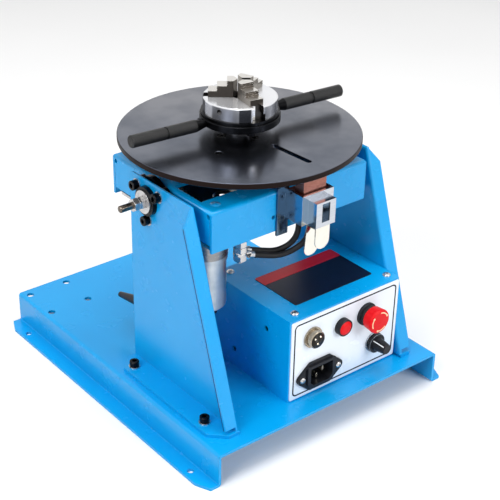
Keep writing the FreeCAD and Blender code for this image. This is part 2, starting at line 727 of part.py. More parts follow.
def housing_screw_points(z):
    return [Vec(HOUSING_SCREW_CIRCLE * math.cos(math.radians(a)),
                PIVOT_Y + HOUSING_SCREW_CIRCLE * math.sin(math.radians(a)), z) for a in (45, 135, 225, 315)]


def holder_screw_points(y):
    offset = HOLDER_WIDTH / 2 + WING / 2
    rows = (HOLDER_TOP_Z + WING_RISE - 8.0, HOLDER_TOP_Z + WING_RISE - WING_HEIGHT + 15.0)
    return [Vec(BRUSH_X + side * offset, y, z) for side in (-1, 1) for z in rows]


def make_tray():
    bottom = TRAY_TOP_Z - TRAY_END_SKIRT
    side = TRAY_SIDE_X
    front = TRAY_FRONT_Y
    rear = TRAY_REAR_Y
    outer = box(-side, side, front, rear, bottom, TRAY_TOP_Z)
    outer = outer.makeFillet(BEND_OUTER, [e for e in outer.Edges if e.BoundBox.ZMin > TRAY_TOP_Z - 0.1])
    inner = box(-side + TRAY_SHEET, side - TRAY_SHEET, front + TRAY_SHEET, rear - TRAY_SHEET,
                bottom - 1, TRAY_UNDER_Z)
    inner = inner.makeFillet(BEND_INNER, [e for e in inner.Edges if e.BoundBox.ZMin > TRAY_UNDER_Z - 0.1])
    tray = outer.cut(inner)
    for way in (-1, 1):
        end = PIVOT_Y + way * TRAY_DEPTH / 2
        near = end - way * TRAY_SHEET
        seam = sorted((near, near - way * TRAY_SEAM))
        for hand in (-1, 1):
            wall = sorted((hand * side, hand * (side - TRAY_SHEET)))
            tray = tray.cut(box(wall[0], wall[1], seam[0], seam[1], bottom, TRAY_UNDER_Z - BEND_OUTER))
            relief = Vec(wall[0] - 0.5, near - way * TRAY_RELIEF_R, TRAY_UNDER_Z - BEND_OUTER)
            tray = tray.cut(rod(relief, X_AXIS, TRAY_RELIEF_R, TRAY_SHEET + 1))
    for hand in (-1, 1):
        wall = sorted((hand * (side + 1), hand * (side - TRAY_SHEET)))
        tray = tray.cut(box(wall[0], wall[1], front + TRAY_SHEET + TRAY_SEAM, rear - TRAY_SHEET - TRAY_SEAM,
                            bottom - 1, TRAY_TOP_Z - TRAY_SIDE_SKIRT))
    tray = holes(tray, [Vec(-side, PIVOT_Y, PIVOT_Z)], X_AXIS, TRUNNION_R + TAPPED_FIT, TRAY_WIDTH)
    tray = holes(tray, [Vec(0, PIVOT_Y, TRAY_UNDER_Z)], Z_AXIS, HOUSING_R + TAPPED_FIT, TRAY_SHEET)
    tray = sunk_holes(tray, pillar_points(TRAY_TOP_Z), M4, TRAY_SHEET)
    tray = holes(tray, housing_screw_points(TRAY_UNDER_Z), Z_AXIS, M4[0] + TAPPED_FIT, TRAY_SHEET)
    tray = holes(tray, holder_screw_points(front), Y_AXIS, M4[0] + TAPPED_FIT, TRAY_SHEET)
    lead_hole = Vec(SKIRT_HOLE_X, front, TRAY_TOP_Z - SKIRT_HOLE_DROP)
    NODES["cradle_tray"] = holes(tray, [lead_hole], Y_AXIS, SKIRT_HOLE_R, TRAY_SHEET)


def make_motor_plate():
    margin = TRAY_SHEET + MOTOR_PLATE_MARGIN
    width = TRAY_WIDTH - 2 * margin
    depth = TRAY_DEPTH - 2 * margin
    plate = plate_xy(rectangle(0, PIVOT_Y, width, depth, 4.0), MOTOR_PLATE_UNDER, MOTOR_PLATE_TOP)
    under = MOTOR_PLATE_UNDER
    plate = holes(plate, [Vec(0, PIVOT_Y, under)], Z_AXIS, GEAR_HUB_R, MOTOR_PLATE)
    plate = holes(plate, [Vec(MOTOR_X, MOTOR_Y, under)], Z_AXIS, GEARBOX_BOSS_R + TAPPED_FIT, MOTOR_PLATE)
    plate = holes(plate, pillar_points(under), Z_AXIS, M4[0] + HOLE_GAP, MOTOR_PLATE)
    plate = holes(plate, gearbox_screw_points(under), Z_AXIS, M3[0] + HOLE_GAP, MOTOR_PLATE)
    plate = holes(plate, [Vec(STUD_X, STUD_Y, under)], Z_AXIS, STUD_R + TAPPED_FIT, MOTOR_PLATE)
    plate = holes(plate, [Vec(HANDLE_X, handle_top_y(), under)], Z_AXIS, HANDLE_ROD_R + TAPPED_FIT, MOTOR_PLATE)
    NODES["motor_plate"] = plate
    pillars = []
    screws = []
    for point in pillar_points(MOTOR_PLATE_TOP):
        pillar = hexagon(point, Z_AXIS, PILLAR_FLATS, MOTOR_PLATE_DROP)
        pillars.append(pillar.cut(rod(point, Z_AXIS, M4[0] + TAPPED_FIT, MOTOR_PLATE_DROP)))
        below = Vec(point.x, point.y, MOTOR_PLATE_UNDER)
        screws.append(flush_screw(Vec(point.x, point.y, TRAY_TOP_Z), M4, TRAY_SHEET + 8.0))
        screws.append(cap_screw(below, Z_AXIS * -1, M4, MOTOR_PLATE + 8.0))
    NODES["plate_pillars"] = pillars
    CRADLE_SCREWS.extend(screws)


def right_trunnion():
    start = TRAY_SIDE_X - TRAY_SHEET - TRUNNION_JAM_THREAD
    collar = TRAY_SIDE_X
    collar_end = HUB_FACE_X - BODY_GAP
    shoulder = BOSS_FACE_X + RUNNING_FIT
    thread_end = shoulder + TRUNNION_THREAD
    profile = [(0, start), (TRUNNION_R, start), (TRUNNION_R, collar), (TRUNNION_COLLAR_R, collar),
               (TRUNNION_COLLAR_R, collar_end), (TRUNNION_R, collar_end), (TRUNNION_R, shoulder),
               (TRUNNION_THREAD_R, shoulder), (TRUNNION_THREAD_R, thread_end - 0.6),
               (TRUNNION_THREAD_R - 0.6, thread_end), (0, thread_end)]
    pin = turned(profile, Vec(0, PIVOT_Y, PIVOT_Z), X_AXIS)
    seat = Vec(shoulder, PIVOT_Y, PIVOT_Z)
    washer = tube(seat, X_AXIS, TRUNNION_WASHER_R, TRUNNION_THREAD_R + TAPPED_FIT, TRUNNION_WASHER)
    first = seat + X_AXIS * TRUNNION_WASHER
    second = first + X_AXIS * TRUNNION_NUT
    nuts = [nut(p, X_AXIS, TRUNNION_NUT_FLATS, TRUNNION_NUT, TRUNNION_THREAD_R + TAPPED_FIT)
            for p in (first, second)]
    inside = Vec(TRAY_SIDE_X - TRAY_SHEET - TRUNNION_NUT, PIVOT_Y, PIVOT_Z)
    jam = nut(inside, X_AXIS, JAM_NUT_FLATS, TRUNNION_NUT, TRUNNION_R + TAPPED_FIT)
    return pin, washer, nuts, jam


def make_trunnions():
    pin, washer, nuts, jam = right_trunnion()
    NODES["trunnion_pins"] = [pin, mirrored(pin)]
    NODES["trunnion_washers"] = [washer, mirrored(washer)]
    CRADLE_NUTS.extend(nuts + [mirrored(n) for n in nuts] + [jam, mirrored(jam)])


# ---- spindle and turntable ------------------------------------------------------------------
def make_housing():
    base = Vec(0, PIVOT_Y, HOUSING_END_Z)
    top = HOUSING_HEIGHT
    flange = HOUSING_HEIGHT - HOUSING_FLANGE
    seat = BEARING_R + TAPPED_FIT
    waist = BEARING_R - 2.0
    profile = [(seat, 0), (HOUSING_R, 0), (HOUSING_R, flange), (HOUSING_FLANGE_R, flange),
               (HOUSING_FLANGE_R, top), (seat, top), (seat, top - BEARING), (waist, top - BEARING),
               (waist, BEARING), (seat, BEARING)]
    housing = turned(profile, base, Z_AXIS)
    seats = housing_screw_points(TRAY_TOP_Z)
    NODES["bearing_housing"] = holes(housing, seats, Z_AXIS, M4[0] + HOLE_GAP, HOUSING_FLANGE)
    bore = SPINDLE_R + RUNNING_FIT
    starts = (base, base + Z_AXIS * (HOUSING_HEIGHT - BEARING))
    NODES["spindle_bearings"] = [tube(p, Z_AXIS, BEARING_R, bore, BEARING) for p in starts]
    grip = HOUSING_FLANGE + TRAY_SHEET
    CRADLE_SCREWS.extend([cap_screw(p + Z_AXIS * HOUSING_FLANGE, Z_AXIS, M4, grip) for p in seats])


def table_screw_points(z):
    return [Vec(TABLE_SCREW_CIRCLE * math.cos(math.radians(a)),
                PIVOT_Y + TABLE_SCREW_CIRCLE * math.sin(math.radians(a)), z) for a in (0, 90, 180, 270)]


def make_table():
    rim = 0.6
    profile = [(0, 0), (TABLE_R - rim, 0), (TABLE_R, rim), (TABLE_R, TABLE_THICK - rim),
               (TABLE_R - rim, TABLE_THICK), (0, TABLE_THICK)]
    table = turned(profile, Vec(0, PIVOT_Y, TABLE_UNDER_Z), Z_AXIS)
    table = holes(table, [Vec(0, PIVOT_Y, TABLE_UNDER_Z)], Z_AXIS, TABLE_BORE_R, TABLE_THICK)
    half = SLOT_WIDTH / 2
    slot = fuse([box(SLOT_START + half, SLOT_END - half, -half, half, -1, TABLE_THICK + 1),
                 rod(Vec(SLOT_START + half, 0, -1), Z_AXIS, half, TABLE_THICK + 2),
                 rod(Vec(SLOT_END - half, 0, -1), Z_AXIS, half, TABLE_THICK + 2)])
    slot.rotate(ORIGIN, Z_AXIS, SLOT_ANGLE)
    slot.translate(Vec(0, PIVOT_Y, TABLE_UNDER_Z))
    table = table.cut(slot)
    seats = table_screw_points(TABLE_TOP_Z)
    lock_way = math.radians(LOCK_SCREW_ANGLE)
    lock = Vec(LOCK_SCREW_CIRCLE * math.cos(lock_way), PIVOT_Y + LOCK_SCREW_CIRCLE * math.sin(lock_way), TABLE_TOP_Z)
    table = sunk_holes(table, seats, M5, TABLE_THICK)
    NODES["turntable"] = sunk_holes(table, [lock], M4, TABLE_THICK)
    TABLE_SCREWS.extend([flush_screw(p, M5, TABLE_THICK + SPINDLE_FLANGE) for p in seats])
    TABLE_SCREWS.append(flush_screw(lock, M4, TABLE_THICK))


def make_spindle():
    length = SPINDLE_TOP_Z - SPINDLE_END_Z
    shank = length - SPINDLE_FLANGE
    thread = GEAR_TOP_Z - SPINDLE_END_Z - GEAR_FACE - GEAR_HUB
    profile = [(0, 0), (SPINDLE_R - 1.5, 0), (SPINDLE_R - 1.5, thread), (SPINDLE_R, thread),
               (SPINDLE_R, shank), (SPINDLE_FLANGE_R, shank), (SPINDLE_FLANGE_R, length), (0, length)]
    spindle = turned(profile, Vec(0, PIVOT_Y, SPINDLE_END_Z), Z_AXIS)
    socket = Vec(0, PIVOT_Y, SPINDLE_TOP_Z - 16.0)
    spindle = spindle.cut(rod(socket, Z_AXIS, TABLE_BORE_R - 0.2 + TAPPED_FIT, 17.0))
    seats = table_screw_points(SPINDLE_TOP_Z - SPINDLE_FLANGE)
    NODES["spindle"] = holes(spindle, seats, Z_AXIS, M5[0] + TAPPED_FIT, SPINDLE_FLANGE)


# ---- gears ----------------------------------------------------------------------------------
def involute(base_r, radius):
    """Roll angle and polar angle of the involute where it reaches a radius."""
    roll = math.sqrt(max((radius / base_r) ** 2 - 1, 0))
    return roll - math.atan(roll)


def gear_outline(teeth, steps):
    """Corners of a spur gear's outline, a tooth centred on the X axis."""
    pitch = GEAR_MODULE * teeth / 2
    base_r = pitch * math.cos(math.radians(PRESSURE_ANGLE))
    root = pitch - 1.25 * GEAR_MODULE
    tip = pitch + GEAR_MODULE
    start = max(root, base_r)
    half = (math.pi * GEAR_MODULE / 2 - BACKLASH) / 2 / pitch + involute(base_r, pitch)
    flank = [(start + (tip - start) * i / steps) for i in range(steps + 1)]
    rising = [(r, half - involute(base_r, r)) for r in flank]
    if root < start:
        rising.insert(0, (root, half - involute(base_r, start) + 0.02 * math.pi / teeth))
    points = []
    for tooth in range(teeth):
        middle = 2 * math.pi * tooth / teeth
        points += [(r * math.cos(middle - a), r * math.sin(middle - a), 0) for r, a in rising]
        points += [(r * math.cos(middle + a), r * math.sin(middle + a), 0) for r, a in reversed(rising)]
    return points


def make_gears():
    wheel = plate_xy(gear_outline(GEAR_TEETH, 3), -GEAR_FACE, 0)
    rim = GEAR_MODULE * GEAR_TEETH / 2 - 5 * GEAR_MODULE
    groove = (GEAR_FACE - GEAR_WEB) / 2
    for z in (-GEAR_FACE, -groove):
        wheel = wheel.cut(tube(Vec(0, 0, z), Z_AXIS, rim, GEAR_HUB_R, groove))
    lightening = (rim + GEAR_HUB_R) / 2
    ports = [Vec(lightening * math.cos(a), lightening * math.sin(a), -GEAR_FACE)
             for a in (i * math.pi / 3 for i in range(6))]
    wheel = wheel.cut([rod(p, Z_AXIS, (rim - GEAR_HUB_R) / 3, GEAR_FACE) for p in ports])
    hub = rod(Vec(0, 0, -GEAR_FACE - GEAR_HUB / 2), Z_AXIS, GEAR_HUB_R, GEAR_FACE + GEAR_HUB)
    wheel = fuse([wheel, hub])
    wheel = wheel.cut(rod(Vec(0, 0, -2 * GEAR_FACE), Z_AXIS, SPINDLE_R + TAPPED_FIT, 3 * GEAR_FACE))
    wheel.rotate(ORIGIN, Z_AXIS, MOTOR_ANGLE)
    wheel.translate(Vec(0, PIVOT_Y, GEAR_RIM_TOP_Z))
    NODES["driven_gear"] = wheel
    pinion = plate_xy(gear_outline(PINION_TEETH, 3), 0, PINION_FACE)
    pinion.rotate(ORIGIN, Z_AXIS, MOTOR_ANGLE + 180 + 180 / PINION_TEETH)
    pinion_z = GEAR_RIM_TOP_Z - (GEAR_FACE + PINION_FACE) / 2
    pinion.translate(Vec(MOTOR_X, MOTOR_Y, pinion_z))
    shaft_start = MOTOR_PLATE_UNDER - MOTOR_SHAFT_IN
    shaft = rod(Vec(MOTOR_X, MOTOR_Y, shaft_start), Z_AXIS, MOTOR_SHAFT_R, pinion_z + PINION_FACE - shaft_start)
    NODES["pinion"] = fuse([pinion, shaft])


def gearbox_screw_points(z):
    circle = GEARBOX_R - 3.5
    return [Vec(MOTOR_X + circle * math.cos(math.radians(a)), MOTOR_Y + circle * math.sin(math.radians(a)), z)
            for a in (0, 90, 180, 270)]


def make_motor():
    bottom = Vec(MOTOR_X, MOTOR_Y, MOTOR_PLATE_UNDER - GEARBOX)
    case = fuse([rod(bottom, Z_AXIS, GEARBOX_R, GEARBOX),
                 rod(bottom, Z_AXIS, GEARBOX_BOSS_R, GEARBOX + MOTOR_PLATE - 0.2)])
    seat = Vec(MOTOR_X, MOTOR_Y, MOTOR_PLATE_UNDER - MOTOR_SHAFT_IN - 0.1)
    case = case.cut(rod(seat, Z_AXIS, MOTOR_SHAFT_R + RUNNING_FIT, MOTOR_SHAFT_IN + MOTOR_PLATE + 1))
    seats = gearbox_screw_points(MOTOR_PLATE_UNDER - 6.0)
    NODES["gearbox_case"] = holes(case, seats, Z_AXIS, M3[0] + TAPPED_FIT, 6.0)
    NODES["gearbox_screws"] = [cap_screw(p, Z_AXIS, M3, MOTOR_PLATE + 5.0)
                               for p in gearbox_screw_points(MOTOR_PLATE_TOP)]
    down = Z_AXIS * -1
    length = MOTOR_RING + MOTOR_CAN
    profile = [(0, 0), (MOTOR_RING_R, 0), (MOTOR_RING_R, MOTOR_RING), (MOTOR_CAN_R, MOTOR_RING),
               (MOTOR_CAN_R, length - 2), (MOTOR_CAN_R - 2, length), (0, length)]
    NODES["motor_can"] = turned(profile, bottom, down)
    end = bottom + down * length
    boots = []
    for side in (-1, 1):
        start = end + X_AXIS * (side * BOOT_SPACING / 2)
        boots.append(turned([(0, 0), (BOOT_R, 0), (BOOT_R - 0.4, BOOT * 0.55), (BOOT_R - 1.6, BOOT), (0, BOOT)],
                            start, down))
    NODES["motor_boots"] = boots


# ---- tilt handle ----------------------------------------------------------------------------
def handle_direction():
    slope = math.radians(HANDLE_DROP)
    return Vec(0, math.cos(slope), -math.sin(slope))


def handle_joint():
    """The place where the rod enters the grip."""
    return Vec(HANDLE_X, HANDLE_TIP_Y, HANDLE_TIP_Z) - handle_direction() * HANDLE_GRIP


def handle_top_y():
    return handle_joint().y - HANDLE_BEND - 4.0


def make_handle():
    along = handle_direction()
    start = handle_joint()
    grip_profile = [(0, 0), (HANDLE_GRIP_R - 1, 0), (HANDLE_GRIP_R, 1), (HANDLE_GRIP_R, 0.45 * HANDLE_GRIP),
                    (HANDLE_TIP_R, HANDLE_GRIP - 1.2), (HANDLE_TIP_R - 1.2, HANDLE_GRIP), (0, HANDLE_GRIP)]
    grip = turned(grip_profile, start, along)
    depth = 20.0
    NODES["handle_grip"] = grip.cut(rod(start - along, along, HANDLE_ROD_R + TAPPED_FIT, depth + 1))
    top = Vec(HANDLE_X, handle_top_y(), MOTOR_PLATE_TOP + 6.0)
    corner_z = start.z + (start.y - top.y) * math.tan(math.radians(HANDLE_DROP))
    corner = Vec(HANDLE_X, top.y, corner_z)
    reach = HANDLE_BEND
    arc_start = corner + Z_AXIS * reach
    arc_end = corner + along * reach
    turn = math.radians(90 - HANDLE_DROP)
    radius = reach / math.tan(turn / 2)
    middle = Z_AXIS + along
    middle.normalize()
    bulge = corner + middle * (radius / math.cos(turn / 2) - radius)
    end = start + along * (depth - 0.2)
    wire = Part.Wire([Part.makeLine(top, arc_start), Part.Arc(arc_start, bulge, arc_end).toShape(),
                      Part.makeLine(arc_end, end)])
    NODES["handle_rod"] = swept(wire, top, Z_AXIS * -1, HANDLE_ROD_R)
    above = Vec(HANDLE_X, top.y, MOTOR_PLATE_TOP)
    below = Vec(HANDLE_X, top.y, MOTOR_PLATE_UNDER - TRUNNION_NUT)
    CRADLE_NUTS.extend([nut(p, Z_AXIS, TRUNNION_NUT_FLATS, TRUNNION_NUT, HANDLE_ROD_R + TAPPED_FIT)
                        for p in (above, below)])


# ---- chuck ----------------------------------------------------------------------------------
def jaw_section(gap):
    """The T section of a jaw inside the body, as (y, z) above the scroll, widened by a gap."""
    foot = JAW_WIDTH / 2 + gap
    neck = JAW_NECK / 2 + gap
    top = JAW_FOOT + gap
    return foot, neck, top


def make_chuck():
    centre = Vec(0, PIVOT_Y, TABLE_TOP_Z)
    stud = CHUCK_STUD
    flange_z = CHUCK_LIFT - CHUCK_FLANGE
    stud_r = TABLE_BORE_R - 0.2
    profile = [(0, -stud), (stud_r, -stud), (stud_r, 0), (CHUCK_NECK_R, 0), (CHUCK_NECK_R, flange_z),
               (CHUCK_FLANGE_R, flange_z), (CHUCK_FLANGE_R, CHUCK_LIFT), (0, CHUCK_LIFT)]
    hub = turned(profile, centre, Z_AXIS)
    seats = [Vec(CHUCK_SCREW_CIRCLE * math.cos(math.radians(a)),
                 PIVOT_Y + CHUCK_SCREW_CIRCLE * math.sin(math.radians(a)), TABLE_TOP_Z + flange_z)
             for a in JAW_ANGLES]
    NODES["chuck_hub"] = holes(hub, seats, Z_AXIS, M4[0] + TAPPED_FIT, CHUCK_FLANGE)
    TABLE_SCREWS.extend([cap_screw(p, Z_AXIS * -1, M4, CHUCK_FLANGE - RUNNING_FIT) for p in seats])


def make_chuck_body():
    sleeve_z = TABLE_TOP_Z + CHUCK_LIFT
    edge = 1.0
    top = CHUCK_TOP_Z - sleeve_z
    floor = JAW_FLOOR_Z - sleeve_z
    profile = [(CHUCK_BORE_R, 0), (CHUCK_SLEEVE_R, 0), (CHUCK_SLEEVE_R, floor), (CHUCK_BODY_R, floor),
               (CHUCK_BODY_R, top - edge), (CHUCK_BODY_R - edge, top), (CHUCK_BORE_R, top)]
    body = turned(profile, Vec(0, PIVOT_Y, sleeve_z), Z_AXIS)
    foot, neck, rise = jaw_section(SLIDE_GAP)
    cuts = []
    for angle in JAW_ANGLES:
        slot = fuse([box(0, CHUCK_BODY_R + 1, -foot, foot, JAW_FLOOR_Z - 1, JAW_FLOOR_Z + rise),
                     box(0, CHUCK_BODY_R + 1, -neck, neck, JAW_FLOOR_Z, CHUCK_TOP_Z + 1)])
        slot.translate(Vec(0, PIVOT_Y, 0))
        cuts.append(about_z(slot, angle))
    key = rod(Vec(CHUCK_BODY_R - 8, PIVOT_Y, CHUCK_TOP_Z - KEY_DROP), X_AXIS, KEY_R, 9)
    cuts.append(about_z(key, KEY_ANGLE))
    NODES["chuck_body"] = body.cut(cuts)


def make_scroll():
    edge = 0.5
    lip_z = SCROLL_THICK - SCROLL_LIP
    band = lip_z - SCROLL_GROOVE
    profile = [(CHUCK_SLEEVE_R + RUNNING_FIT, 0), (SCROLL_R - edge, 0), (SCROLL_R, edge), (SCROLL_R, band - edge),
               (SCROLL_R - edge, band), (SCROLL_GROOVE_R, band), (SCROLL_GROOVE_R, lip_z), (SCROLL_LIP_R, lip_z),
               (SCROLL_LIP_R, SCROLL_THICK), (CHUCK_SLEEVE_R + RUNNING_FIT, SCROLL_THICK)]
    ring = turned(profile, Vec(0, PIVOT_Y, SCROLL_Z), Z_AXIS)
    socket_start = SCROLL_R - LEVER_SPIGOT
    bars = []
    sockets = []
    for angle in LEVER_ANGLES:
        socket = rod(Vec(socket_start, PIVOT_Y, LEVER_Z), X_AXIS, LEVER_SPIGOT_R + TAPPED_FIT, LEVER_SPIGOT + 5)
        sockets.append(about_z(socket, angle))
        shoulder = SCROLL_R + 0.3
        profile = [(0, socket_start), (LEVER_SPIGOT_R, socket_start), (LEVER_SPIGOT_R, shoulder),
                   (LEVER_NECK_R, shoulder), (LEVER_R, LEVER_START),
                   (LEVER_R, LEVER_GROOVE - 1), (LEVER_R - 0.8, LEVER_GROOVE - 1),
                   (LEVER_R - 0.8, LEVER_GROOVE + 1), (LEVER_R, LEVER_GROOVE + 1), (LEVER_R, LEVER_TIP - 0.8),
                   (LEVER_R - 0.8, LEVER_TIP), (0, LEVER_TIP)]
        bar = turned(profile, Vec(0, PIVOT_Y, LEVER_Z), X_AXIS)
        bars.append(about_z(bar, angle))
    ring = ring.cut(sockets)
    pin_start = Vec(SCROLL_R - LEVER_SPIGOT, PIVOT_Y, SCROLL_Z + band / 2)
    pin_length = LEVER_SPIGOT + STOP_PIN_R
    pin = fuse([rod(pin_start, X_AXIS, STOP_PIN_R, pin_length),
                rod(pin_start + X_AXIS * pin_length, X_AXIS, STOP_PIN_R + 0.8, STOP_PIN_R)])
    NODES["scroll_ring"] = fuse([ring, about_z(pin, STOP_PIN_ANGLE)])
    NODES["lever_bars"] = bars


def make_jaws():
    foot, neck, rise = jaw_section(0.0)
    outer = JAW_STEPS[-1][0]
    bottom = JAW_FLOOR_Z + 2 * RUNNING_FIT
    foot_top = bottom + rise - RUNNING_FIT
    steps = [box(0, outer, -foot, foot, bottom, foot_top),
             box(0, outer, -neck, neck, foot_top, CHUCK_TOP_Z + RUNNING_FIT)]
    for reach, height in JAW_STEPS:
        steps.append(box(0, reach, -foot, foot, CHUCK_TOP_Z + RUNNING_FIT, CHUCK_TOP_Z + height))
    blank = fuse(steps)
    tip = plate_xy([(JAW_TIP, -0.4, 0), (JAW_TIP + foot / math.sqrt(3), -foot, 0), (outer + 1, -foot, 0),
                    (outer + 1, foot, 0), (JAW_TIP + foot / math.sqrt(3), foot, 0), (JAW_TIP, 0.4, 0)],
                   bottom - 1, CHUCK_TOP_Z + JAW_STEPS[0][1] + 1)
    jaw = blank.common(tip)
    for (reach, height), (_, lower) in zip(JAW_STEPS, JAW_STEPS[1:]):
        for level in JAW_GROOVE_LEVELS:
            z = CHUCK_TOP_Z + lower + (height - lower) * level
            jaw = jaw.cut(box(reach - JAW_GROOVE, reach + 0.1, -foot - 1, foot + 1,
                              z - JAW_GROOVE / 2, z + JAW_GROOVE / 2))
    jaw.translate(Vec(0, PIVOT_Y, 0))
    for number, angle in enumerate(JAW_ANGLES, 1):
        NODES["jaw_%d" % number] = about_z(jaw, angle)


# ---- earth brush ----------------------------------------------------------------------------
def make_brush():
    left = BRUSH_X - HOLDER_WIDTH / 2
    right = BRUSH_X + HOLDER_WIDTH / 2
    back = HOLDER_BACK_Y
    wing_y = back - HOLDER_SHEET
    top = HOLDER_TOP_Z
    under = HOLDER_UNDER_Z
    sheet = HOLDER_SHEET
    shell = box(left, right, HOLDER_FRONT_Y, back, under, top)
    shell = shell.cut(box(left + sheet, right - sheet, HOLDER_FRONT_Y + sheet, back, under + sheet, top))
    wing_top = top + WING_RISE
    wings = [box(left - WING, left + sheet, wing_y, back, wing_top - WING_HEIGHT, wing_top),
             box(right - sheet, right + WING, wing_y, back, wing_top - WING_HEIGHT, wing_top)]
    pocket_l = BRUSH_X - POCKET_WIDTH / 2
    pocket_r = BRUSH_X + POCKET_WIDTH / 2
    pocket_y = HOLDER_FRONT_Y - POCKET_DEPTH
    pocket_top = under + POCKET_HEIGHT
    pocket = box(pocket_l, pocket_r, pocket_y, HOLDER_FRONT_Y, under, pocket_top)
    wall = POCKET_SHEET
    pocket = pocket.cut(box(pocket_l + wall, pocket_r - wall, pocket_y + wall, HOLDER_FRONT_Y,
                            under + wall, pocket_top - wall))
    pocket = pocket.cut(box(BRUSH_X - POCKET_SLOT / 2, BRUSH_X + POCKET_SLOT / 2, pocket_y - 1, pocket_y + wall,
                            under + 2.5 * wall, pocket_top - POCKET_HEAD))
    holder = fuse([shell] + wings + [pocket])
    screw_seats = holder_screw_points(wing_y)
    forward = Y_AXIS * -1
    NODES["brush_holder"] = sunk_holes(holder, screw_seats, M4, sheet, forward)
    CRADLE_SCREWS.extend([flush_screw(p, M4, sheet + TRAY_SHEET + 2, forward) for p in screw_seats])

    half_w = BRUSH_WIDTH / 2
    half_t = BRUSH_THICK / 2
    gap = SLIDE_GAP
    sleeve = box(left + sheet, right - sheet, HOLDER_FRONT_Y + sheet, back, under + sheet, top - SLEEVE_SUNK)
    bore = box(BRUSH_X - half_w - gap, BRUSH_X + half_w + gap, BRUSH_Y - half_t - gap, BRUSH_Y + half_t + gap,
               under, top)
    NODES["brush_sleeve"] = sleeve.cut(bore)
    brush = box(BRUSH_X - half_w, BRUSH_X + half_w, BRUSH_Y - half_t, BRUSH_Y + half_t, BRUSH_UNDER_Z, BRUSH_TOP_Z)
    upright = [e for e in brush.Edges if e.BoundBox.ZLength > BRUSH_LENGTH / 2]
    NODES["contact_brush"] = brush.makeFillet(0.8, upright)
    spring_z = under + sheet
    height = BRUSH_UNDER_Z - spring_z
    NODES["brush_spring"] = coil_spring(Vec(BRUSH_X, BRUSH_Y, spring_z), height)

    strip = CLIP_SHEET
    clip_l = pocket_l
    clip_r = pocket_l + CLIP_WIDTH
    clip_back = HOLDER_FRONT_Y + 1.0
    clip_front = pocket_y
    corner = CLIP_WIDTH / 2 - 0.1
    bridge = box(clip_l, clip_r, clip_front, clip_back, under - strip, under)
    front, rear = [plate_xz([(clip_l, under, 0), (clip_r, under, 0), (clip_r, under - length, corner),
                             (clip_l, under - length, corner)], y, y + strip)
                   for length, y in ((CLIP_FRONT, clip_front), (CLIP_REAR, clip_back - strip))]
    rear.rotate(Vec(0, clip_back, under), X_AXIS, CLIP_LEAN)
    NODES["brush_clip"] = fuse([bridge, front, rear])


def coil_spring(base, height):
    """A compression spring, its wire drawn with four flats, between two flat seats."""
    rise = height - 2 * SPRING_WIRE_R
    helix = Part.makeHelix(rise / SPRING_TURNS, rise, SPRING_R)
    corners = [Vec(SPRING_R + dx * SPRING_WIRE_R, 0, dz * SPRING_WIRE_R)
               for dx, dz in ((1, 0), (0, 1), (-1, 0), (0, -1), (1, 0))]
    section = Part.makePolygon(corners)
    coil = Part.Wire(helix.Edges).makePipeShell([section], True, True)
    coil.translate(base + Z_AXIS * SPRING_WIRE_R)
    return coil


def make_earth_lead():
    base = Vec(STUD_X, STUD_Y, MOTOR_PLATE_UNDER - STUD_LENGTH)
    NODES["earth_stud"] = rod(base, Z_AXIS, STUD_R, STUD_LENGTH + MOTOR_PLATE)
    bore = STUD_R + TAPPED_FIT
    lugs = []
    middle = Vec(BRUSH_X, HOLDER_BACK_Y, HOLDER_UNDER_Z)
    ends = [[middle + Vec(*offset) for offset in route] for route in (PIGTAIL_A, PIGTAIL_B)]
    for number, route in enumerate(ends):
        level = LUG_Z - number * LUG_SHEET
        cord_start = route[0]
        cord_way = route[1] - cord_start
        cord_way.normalize()
        centre = Vec(STUD_X, STUD_Y, level)
        ring = tube(centre, Z_AXIS, LUG_RING_R, bore, LUG_SHEET)
        barrel = rod(cord_start - cord_way * LUG_BARREL, cord_way, LUG_BARREL_R, LUG_BARREL)
        foot = cord_start - cord_way * (LUG_BARREL - 1.0)
        tongue_dir = foot - centre
        tongue_dir.z = 0
        reach = tongue_dir.Length + 0.5
        angle = math.degrees(math.atan2(tongue_dir.y, tongue_dir.x))
        tongue = box(STUD_R + 1.0, reach, -LUG_BARREL_R * 0.8, LUG_BARREL_R * 0.8, 0, LUG_SHEET)
        tongue.rotate(ORIGIN, Z_AXIS, angle)
        tongue.translate(centre)
        lugs.append(fuse([ring, tongue, barrel]))
    stack_top = Vec(STUD_X, STUD_Y, LUG_Z + LUG_SHEET)
    stack_under = Vec(STUD_X, STUD_Y, LUG_Z - LUG_SHEET - TRUNNION_NUT)
    plate_nut = Vec(STUD_X, STUD_Y, MOTOR_PLATE_UNDER - TRUNNION_NUT)
    CRADLE_NUTS.extend([nut(p, Z_AXIS, TRUNNION_NUT_FLATS, TRUNNION_NUT, bore)
                        for p in (stack_top, stack_under, plate_nut)])
    ferrules = []
    for route in ends:
        tip = route[-1]
        ferrules.append(rod(tip, Z_AXIS, FERRULE_R, HOLDER_UNDER_Z - tip.z))
    NODES["cable_ends"] = lugs + ferrules
    NODES["pigtail_a"], NODES["pigtail_b"] = [cord(route, PIGTAIL_R) for route in ends]


# ---- control box ----------------------------------------------------------------------------
def lid_screw_points(z):
    left = BOX_LEFT_X + LID_SCREW_X_LEFT
    right = BOX_RIGHT_X - LID_SCREW_X_RIGHT
    return [Vec(x, y, z) for x in (left, right) for y in (BOX_FRONT_Y + LID_SCREW_Y, BOX_REAR_Y - LID_SCREW_Y)]


